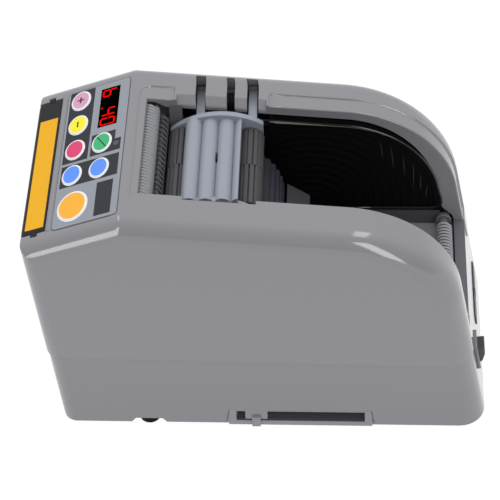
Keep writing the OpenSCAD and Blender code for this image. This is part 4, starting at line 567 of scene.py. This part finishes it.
# Keys: low moulded caps with a rounded edge, a white border and a coloured middle, and plain dark marks
# on three of them. They press in through the film.
key_colours = {"key_pink": (216, 160, 192), "key_yellow": (250, 240, 50), "key_red": (222, 66, 116),
               "key_blue": (95, 150, 250), "key_green": (62, 182, 118), "key_orange": (253, 180, 55)}
for slot, rgb in key_colours.items():
    dress(slot, rgb, 0.45, 0, 0.3)
key_slot = {"plus": "key_pink", "minus": "key_yellow", "red": "key_red", "blue_left": "key_blue",
            "green": "key_green", "blue_right": "key_blue", "start": "key_orange"}
cap_in = np.array([0, 0, 0.03, 0.1, 0.22, 0.4, 0.8, 1.4, 2.4, 3.6])
cap_w = np.array([-3.5, 0.35, 0.5, 0.6, 0.67, 0.72, 0.76, 0.79, 0.82, 0.84])
cap_over = 0.22
for name, (s, y, a, b) in keys.items():
    border = 0.62 if name == "start" else 0.8
    inward = np.sort(np.append(cap_in, border + 0.001))
    height = np.interp(inward, cap_in[1:], cap_w[1:])
    height[0] = cap_w[0]
    rings = np.stack([on_panel(*oval(s, y, a + cap_over - e, b + cap_over - e).T, h)
                      for e, h in zip(inward, height)])
    count = rings.shape[1]
    ring = np.arange(len(inward) * count).reshape(-1, count)
    cap = add_piece("key_" + name, rings.reshape(-1, 3), [*bands(ring)[:, ::-1], ring[-1][::-1]],
                    "button_" + name, key_slot[name], slot_finish[key_slot[name]], white_ink,
                    stands_for=("button_" + name,))
    white = np.repeat(inward[1:] <= border + 0.002, count)
    cap.data.polygons.foreach_set("material_index", np.append(white, False).astype(np.int32))


def stroke(s0, y0, s1, y1, wide):
    """Outline of a straight bar: both ends moved half the width to each side."""
    a, b = np.array([s0, y0]), np.array([s1, y1])
    side = np.array([b[1] - a[1], a[0] - b[0]]) / np.hypot(*(b - a)) * wide / 2
    return [a + side, b + side, b - side, a - side]


mark_ink = finish("mark_ink", (34, 32, 36), 0.6, 0, 0.1)
cap_mark_w = 0.87
marks = {"mark_plus_a": ("plus", (-1.9, 0), (1.9, 0), 0.75),
         "mark_plus_b": ("plus", (0, -2.1), (0, 2.1), 0.75),
         "mark_minus": ("minus", (0, -2), (0, 2), 0.8),
         "mark_mode": ("green", (2.6, 4.0), (-2.6, -4.0), 0.5)}
for name, (key, start, stop, wide) in marks.items():
    s, y = keys[key][:2]
    bar = stroke(s + start[0], y + start[1], s + stop[0], y + stop[1], wide)
    printed(name, "button_" + key, cap_mark_w, bar, mark_ink, key_slot[key])


# Display: a black window with red glowing bars, heads towards the rear. Three of its four places are
# lit, and a point before the last two.
dress("window_black", (2, 2, 2), 0.5, 0, 0.0)
display_red = bpy.data.materials.new("display_red")
display_red.use_nodes = True
glow = display_red.node_tree
glow_bsdf = glow.nodes["Principled BSDF"]
glow_bsdf.inputs["Emission Strength"].default_value = 1.0
glow_bsdf.inputs["Base Color"].default_value = (0.02, 0.0, 0.0, 1)
glow_bsdf.inputs["Specular IOR Level"].default_value = 0.0
glow_place = add_node(glow, "ShaderNodeTexCoord")
glow_noise = add_node(glow, "ShaderNodeTexNoise", Scale=3000)
glow_tint = add_node(glow, "ShaderNodeValToRGB")
glow_tint.color_ramp.elements[0].color = (0.9, 0.0, 0.0, 1)
glow_tint.color_ramp.elements[1].color = (1.0, 0.01, 0.005, 1)
join(glow, (glow_place.outputs["Object"], glow_noise.inputs["Vector"]),
     (glow_noise.outputs["Fac"], glow_tint.inputs["Fac"]),
     (glow_tint.outputs["Color"], glow_bsdf.inputs["Emission Color"]))
bars = {"a": (1, 0, 1, 1), "b": (0.5, 1, 1, 1), "c": (0, 1, 0.5, 1), "d": (0, 0, 0, 1), "e": (0, 0, 0.5, 0),
        "f": (0.5, 0, 1, 0), "g": (0.5, 0, 0.5, 1)}
digit_high, digit_wide, digit_pitch = 7.6, 4.4, 6.9
digit_foot, first_left = 15.9, 42.3
bar_wide, bar_trim = 1.0, 0.07
point_s, point_left, point_r = 16.0, 1.2, 0.55
for place, lit in ((0, "cdefg"), (2, "bcfg"), (3, "abcdef")):
    left = first_left - place * digit_pitch
    for bar in lit:
        up0, over0, up1, over1 = bars[bar]
        start = np.array([digit_foot - up0 * digit_high, left - over0 * digit_wide])
        stop = np.array([digit_foot - up1 * digit_high, left - over1 * digit_wide])
        trim = (stop - start) * bar_trim
        printed("digit_%d_%s" % (place, bar), "housing", mark_w,
                stroke(*(start + trim), *(stop - trim), bar_wide), display_red, "window_black")
point_y = first_left - 2 * digit_pitch + point_left
printed("digit_point", "housing", mark_w, oval(point_s, point_y, point_r, point_r, 16), display_red,
        "window_black")


# Front cover: a black moulded strip that lifts off its seat at the nose, with a printed yellow field.
# A darker sheet on the ridge of the housing above it is painted shade.
dress("cover_black", (26, 27, 30), 0.4, 0, 0.2)
printed("cover_field", "front_cover", 0.05, oblong(41, -43.4, 51, 32.7),
        finish("label_yellow", (240, 177, 28), 0.5, 0, 0.2), "cover_black")
# Painted shade: a darker grey sheet laid on the housing's ridge.
printed("ridge_shade_strip", "housing", 0.04, oblong(37.7, -47, 39.2, 48),
        finish("ridge_shade_grey", (120, 120, 125), 0.3, 0, 0.3), "housing_grey")


# Guides: steel rods with round wire wound on each, finer than the CAD coils that it stands for. Three
# turn at the front of the well and one at its rear.
def wound(turns, half, r, wire, starts, steps=28, sides=10):
    """Coil about Y of so many wires: each centre line is (r cos a, c t, r sin a) with a = t + its start."""
    t = np.linspace(-np.pi, np.pi, round(steps * turns) + 1)[None, :, None] * turns
    a = t + (np.arange(starts) * 2 * np.pi / starts)[:, None, None]
    b = np.arange(sides) * 2 * np.pi / sides
    climb = half / (np.pi * turns)
    out = np.stack([np.cos(a), 0 * a, np.sin(a)], -1)
    side = np.stack([climb * np.sin(a), r + 0 * a, -climb * np.cos(a)], -1) / np.hypot(r, climb)
    line = np.stack([r * np.cos(a), climb * t + 0 * a, r * np.sin(a)], -1)
    points = line + wire * (np.cos(b)[:, None] * out + np.sin(b)[:, None] * side)
    grid = np.arange(points.size // 3).reshape(points.shape[:3])
    after = np.roll(grid, -1, 2)
    faces = np.stack([grid[:, :-1], grid[:, 1:], after[:, 1:], after[:, :-1]], -1)
    return points.reshape(-1, 3), [*faces.reshape(-1, 4), *grid[:, 0, ::-1], *grid[:, -1]]


dress("guide_steel", (110, 111, 116), 0.4)
dress("coil_steel", (150, 151, 156), 0.4)
# Each coil: x, z, turns, half length, radius, wire radius, number of wires and colour. The colours are
# one steel with painted light and shade: pale where a coil lies in light, darker where it lies in shade.
coils = {"upper": (-57.5, 142.1, 7.75, 32.0, 4.25, 0.95, 4, (146, 147, 152)),
         "middle": (-52.0, 134.8, 9.5, 32.0, 3.3, 0.6, 2, (84, 85, 90)),
         "lower": (-54.0, 121.0, 19, 32.0, 3.3, 0.55, 1, (110, 111, 116)),
         "rear": (93.62, 66.0, 24, 26.0, 3.45, 0.72, 1, (158, 159, 164))}
for name, (x, z, turns, half, r, wire, starts, rgb) in coils.items():
    points, faces = wound(turns, half, r, wire, starts)
    add_piece("coil_" + name, points + (x, 0, z), faces, name + "_guide", "coil_steel",
              finish("coil_light_and_shade_" + name, rgb, 0.45, 0, 0.3), stands_for=("guide_coil_" + name,))


# Drum and press rollers: rubber on steel shafts. The drum is the CAD piece. Each roller has two
# sleeves, set half a flute apart, with narrow deep flutes.
def sleeve(x, z, y0, y1, turn, flutes, r=6.7, deep=1.5, steps=20):
    """Fluted tube along Y: the radius is r, less a smooth groove over part of each pitch."""
    a = np.arange(flutes * steps) * 2 * np.pi / (flutes * steps)
    share = np.mod(a * flutes / (2 * np.pi), 1)
    radius = r - deep * smooth((0.15 - np.abs(share - 0.5)) / 0.06)
    ring = np.stack([x + radius * np.cos(a + turn), 0 * a, z + radius * np.sin(a + turn)], -1)
    rows = np.stack([ring + (0, y, 0) for y in (y0, y1, y0, y1)])
    grid = np.arange(4 * len(a)).reshape(4, -1)
    return rows.reshape(-1, 3), [*bands(grid[:2])[:, ::-1], grid[2], grid[3][::-1]]


dress("roller_rubber", (58, 60, 68), 0.6, 0, 0.3)
dress("press_rubber", (74, 74, 77), 0.55, 0, 0.3)
roller_z, roller_flutes = 128.96, 14
near_y, far_y = (-25.1, 0.85), (1.05, 27.0)
for name, x in (("front", -41.4), ("rear", -6.6)):
    near_points, near_faces = sleeve(x, roller_z, *near_y, 0.0, roller_flutes)
    far_points, far_faces = sleeve(x, roller_z, *far_y, np.pi / roller_flutes, roller_flutes)
    add_piece("roller_" + name, np.concatenate([near_points, far_points]),
              near_faces + [f + len(near_points) for f in far_faces], name + "_press_roller", "press_rubber",
              stands_for=("press_roller_" + name,))


# Press unit: a blue-grey moulded carrier that hinges in the far rim. Painted shade darkens its arms
# towards the hinge, deep in the slots.
dress("carrier_blue_grey", (150, 155, 167), 0.4, 0, 0.4)
# Painted shade: the carrier's colour goes over to near black from Y 36.5 to 46.2 mm, in the slots.
nodes["press_carrier"].data.materials[0] = fade(slot_finish["carrier_blue_grey"], "Y", 36.5, 46.2, 0.98,
                                                (6, 6, 7))


# Well: black ribbed liners of moulded plastic stand at both sides of its floor. The far one has a round
# bead, a painted highlight along its upper edge and painted glints on rib crests towards the rear. Thin
# sheets give the floor, the strip under the liner and the wall before the press unit their paler greys,
# the floor with painted light and shade along it, and a darker sheet on the sill is painted shade.
dress("liner_black", (18, 18, 20), 0.4, 0, 0.05)


def bend(a, b, c, steps):
    """Curve from a to c drawn towards b, with weights (1 - t) squared, 2 t (1 - t) and t squared."""
    t = np.linspace(0, 1, steps)[:, None]
    return (1 - t) ** 2 * np.array(a) + 2 * t * (1 - t) * np.array(b) + t ** 2 * np.array(c)


def tube(path, y, r, sides=10):
    """Round bar along a line in the X-Z plane at one Y: the line, plus r cos a across and r sin a in Y."""
    way = np.gradient(path, axis=0)
    way /= np.linalg.norm(way, axis=1)[:, None]
    a = np.arange(sides) * 2 * np.pi / sides
    flat = path[:, None] + np.stack([-way[:, 1], way[:, 0]], -1)[:, None] * r * np.cos(a)[None, :, None]
    points = np.stack([flat[..., 0], np.broadcast_to(y + r * np.sin(a), flat.shape[:2]), flat[..., 1]], -1)
    grid = np.arange(points.shape[0] * sides).reshape(-1, sides)
    return points.reshape(-1, 3), [*bands(grid), grid[0], grid[-1][::-1]]


def ribbon(low, high, y):
    """Flat strip facing the near side between two lines in the X-Z plane."""
    flat = np.concatenate([low, high]).astype(float)
    points = np.stack([flat[:, 0], np.full(len(flat), y), flat[:, 1]], -1)
    n = len(low)
    k = np.arange(n - 1)
    return points, np.stack([k, k + 1, n + k + 1, n + k], -1)


def flat_sheet(x0, x1, y0, y1, z0, z1):
    """Oblong sheet facing up, at height z0 where x is x0 and z1 where x is x1."""
    return [(x0, y0, z0), (x1, y0, z1), (x1, y1, z1), (x0, y1, z0)], [(0, 1, 2, 3)]


bead_in, bead_y, bead_r, bead_low = 10.6, 33.2, 0.9, 82
bead_path = np.concatenate([side_outline(4, np.linspace(0.52, 1, 20), bead_in, bead_in, bead_in),
                            side_outline(5, np.linspace(0, 1, 60)[1:], bead_in, bead_in, bead_in)])
bead_path = np.concatenate([bead_path[bead_path[:, 1] > bead_low],
                            bend((91.6, 80.0), (93.0, 72.0), (85.0, 72.0), 16),
                            [(60.0, 71.8), (30.0, 71.6)]])
add_piece("liner_bead", *tube(bead_path, bead_y, bead_r), "housing", "liner_black",
          finish("bead_black", (14, 14, 16), 0.15, 0, 0.6))
# A pale warm sheet along the liner's upper edge is a painted highlight, widest near its front end.
edge_y = 32.25
edge_x = np.linspace(2.6, 62, 60)
edge_z = np.interp(edge_x, bead_path[:60, 0], bead_path[:60, 1])
edge_h = np.interp(edge_x, [2.6, 6, 20, 32, 62], [0.5, 1.6, 0.9, 0.35, 0.08])
edge_low = np.stack([edge_x, edge_z - edge_h / 2], -1)
edge_high = np.stack([edge_x, edge_z + edge_h / 2], -1)
add_piece("liner_edge_highlight", *ribbon(edge_low, edge_high, edge_y), "housing", "liner_black",
          finish("edge_highlight_grey", (150, 146, 140), 0.6, 0, 0.2))
# Thin grey arcs on the liner are painted glints on its rib crests.
crest_glint_grey = finish("crest_glint_grey", (54, 54, 56), 0.5, 0, 0.2)
crest_y, crest_mid, crest_bow, crest_wide, crest_least = 32.95, 90, 330, 0.26, 0.02
crests = ((61.5, 108, 121), (66.5, 101, 118), (72.0, 95, 111), (76.8, 87, 106), (80.5, 84, 98),
          (84.0, 80, 90))
for k, (x, z0, z1) in enumerate(crests):
    z = np.linspace(z0, z1, 24)
    mid = x - (z - crest_mid) ** 2 / crest_bow
    wide = crest_wide * np.sin(np.linspace(0, np.pi, 24)) + crest_least
    crest = ribbon(np.stack([mid + wide, z], -1), np.stack([mid - wide, z], -1), crest_y)
    add_piece("rib_crest_glint_%d" % k, *crest, "housing", "liner_black", crest_glint_grey)
# The floor sheet is the floor's grey, with painted shade that darkens it towards the front.
floor_z, floor_stop = 60.6, 97
add_piece("floor_sheet", *flat_sheet(40, floor_stop, -mouth_y, mouth_y, floor_z, floor_z), "housing",
          "inner_grey", fade(slot_finish["inner_grey"], "X", 42, 88, 1.0, (134, 134, 139)))
add_piece("liner_skirt", *ribbon([(30, floor_z), (floor_stop, floor_z)], [(30, 70.4), (91, 70.6)], 32.9),
          "housing", "inner_grey", finish("skirt_grey", (92, 92, 97), 0.5, 0, 0.3))
# Painted shade: a darker sheet over the housing's sill at the rear end of the well.
add_piece("sill_shade_sheet", *flat_sheet(99.4, 104.6, -mouth_y, mouth_y, 63.05, 63.25), "housing", "housing_grey",
          finish("sill_shade_grey", (98, 98, 105), 0.5, 0, 0.3))
wall_x, wall_z = (-48.0, -41.4), (124.0, 145.0)
add_piece("wall_sheet", *ribbon(*([(x, z) for x in wall_x] for z in wall_z), 32.6), "housing", "inner_grey",
          finish("wall_grey", (112, 112, 117), 0.5, 0, 0.3))


# Slider: its knob runs in a slot of the insert in the near side. Dark sheets of painted shade lie inside
# the slot, on the lower face and the back wall, and fine dark joint lines at both ends of the insert.
# The lower face's dark grey serves both the painted shade in the slot and the insert's joint lines.
slot_floor = finish("slot_shade_and_seam_grey", (84, 84, 92), 0.6, 0, 0.2)
slot_back = finish("slot_back_shade_grey", (54, 54, 60), 0.6, 0, 0.2)
slot_x, slot_z, slot_back_z = (-14.2, 52.8), 4.5, (1.0, 13.0)
insert_y = -57.43
add_piece("slot_floor", *flat_sheet(*slot_x, -57.2, -54.4, slot_z, slot_z), "housing", "base_grey",
          slot_floor)
add_piece("slot_back", *ribbon(*([(x, z) for x in slot_x] for z in slot_back_z), -52.05), "housing",
          "base_grey", slot_back)
insert_lines = {"left": ([(-19.3, 3.6), (-17.75, 13.4)], [(-19.7, 3.6), (-18.1, 13.4)]),
                "right": ([(57.9, 3.6), (56.2, 13.6)], [(57.3, 3.6), (55.8, 13.6)])}
for name, (low, high) in insert_lines.items():
    add_piece("insert_line_" + name, *ribbon(low, high, insert_y), "housing", "base_grey", slot_floor)


# Rear: a raised black cap on the tilting power rocker, whose switch frame is grey, and a black inlet
# plate with a round socket and its pin. Both are set in the rear face of the base.
base_in = 0.6


def on_rear(u, y, w, z):
    """Points on the rear face at height z: u up along the face, y across and w along its normal."""
    u, y, w = np.broadcast_arrays(u, y, w)
    x = (d_rear - base_in - n_rear[1] * z) / n_rear[0]
    return np.stack([x + w * n_rear[0] - u * n_rear[1], y, z + w * n_rear[1] + u * n_rear[0]], -1)


dress("rocker_black", (58, 58, 62), 0.35)
nodes["power_switch_body"].data.materials[0] = slot_finish["base_grey"]
rocker_z, rocker_y = 33, (-35.1, -26.9)
cap_u = np.array([-5.2, -5.2, -4.7, -0.6, 0.6, 4.7, 5.2, 5.2])
cap_out = np.array([0.5, 2.4, 2.75, 4.3, 4.7, 5.1, 4.8, 0.5])
cap_rows = np.stack([on_rear(cap_u, y, cap_out, rocker_z) for y in rocker_y])
near, far = np.arange(2 * len(cap_u)).reshape(2, -1)
add_piece("rocker_cap", cap_rows.reshape(-1, 3),
          [*np.stack([near, far, np.roll(far, -1), np.roll(near, -1)], -1), near[::-1], far],
          "power_rocker", "rocker_black").data.shade_flat()
inlet_z, inlet_y = 26, 14.5
plate_u, plate_y, plate_corner = 4.2, 20.5, 0.35
plate_low, plate_out = 0.1, 0.5
socket_r, socket_deep, pin_r, pin_out = 3, -9, 1, -2
angle = np.linspace(0, 2 * np.pi, 96, endpoint=False)
up, over = np.sin(angle), np.cos(angle)
plate_ring = (np.sign(up) * np.abs(up) ** plate_corner * plate_u,
              inlet_y + np.sign(over) * np.abs(over) ** plate_corner * plate_y)
socket_ring = (socket_r * up, inlet_y + socket_r * over)
pin_ring = (pin_r * up, inlet_y + pin_r * over)
inlet_rings = [(plate_ring, plate_low), (plate_ring, plate_out), (plate_ring, plate_out),
               (socket_ring, plate_out), (socket_ring, plate_out), (socket_ring, socket_deep),
               (pin_ring, socket_deep), (pin_ring, pin_out)]
inlet_points = np.concatenate([on_rear(*ring, w, inlet_z) for ring, w in inlet_rings])
grid = np.arange(len(inlet_points)).reshape(len(inlet_rings), -1)
inlet_faces = np.concatenate([bands(grid[k:k + 2])[:, ::-1] for k in (0, 2, 4, 6)])
add_piece("inlet_plate", inlet_points, [*inlet_faces, grid[5], grid[7]], "housing", "switch_black",
          stands_for=("power_inlet",))
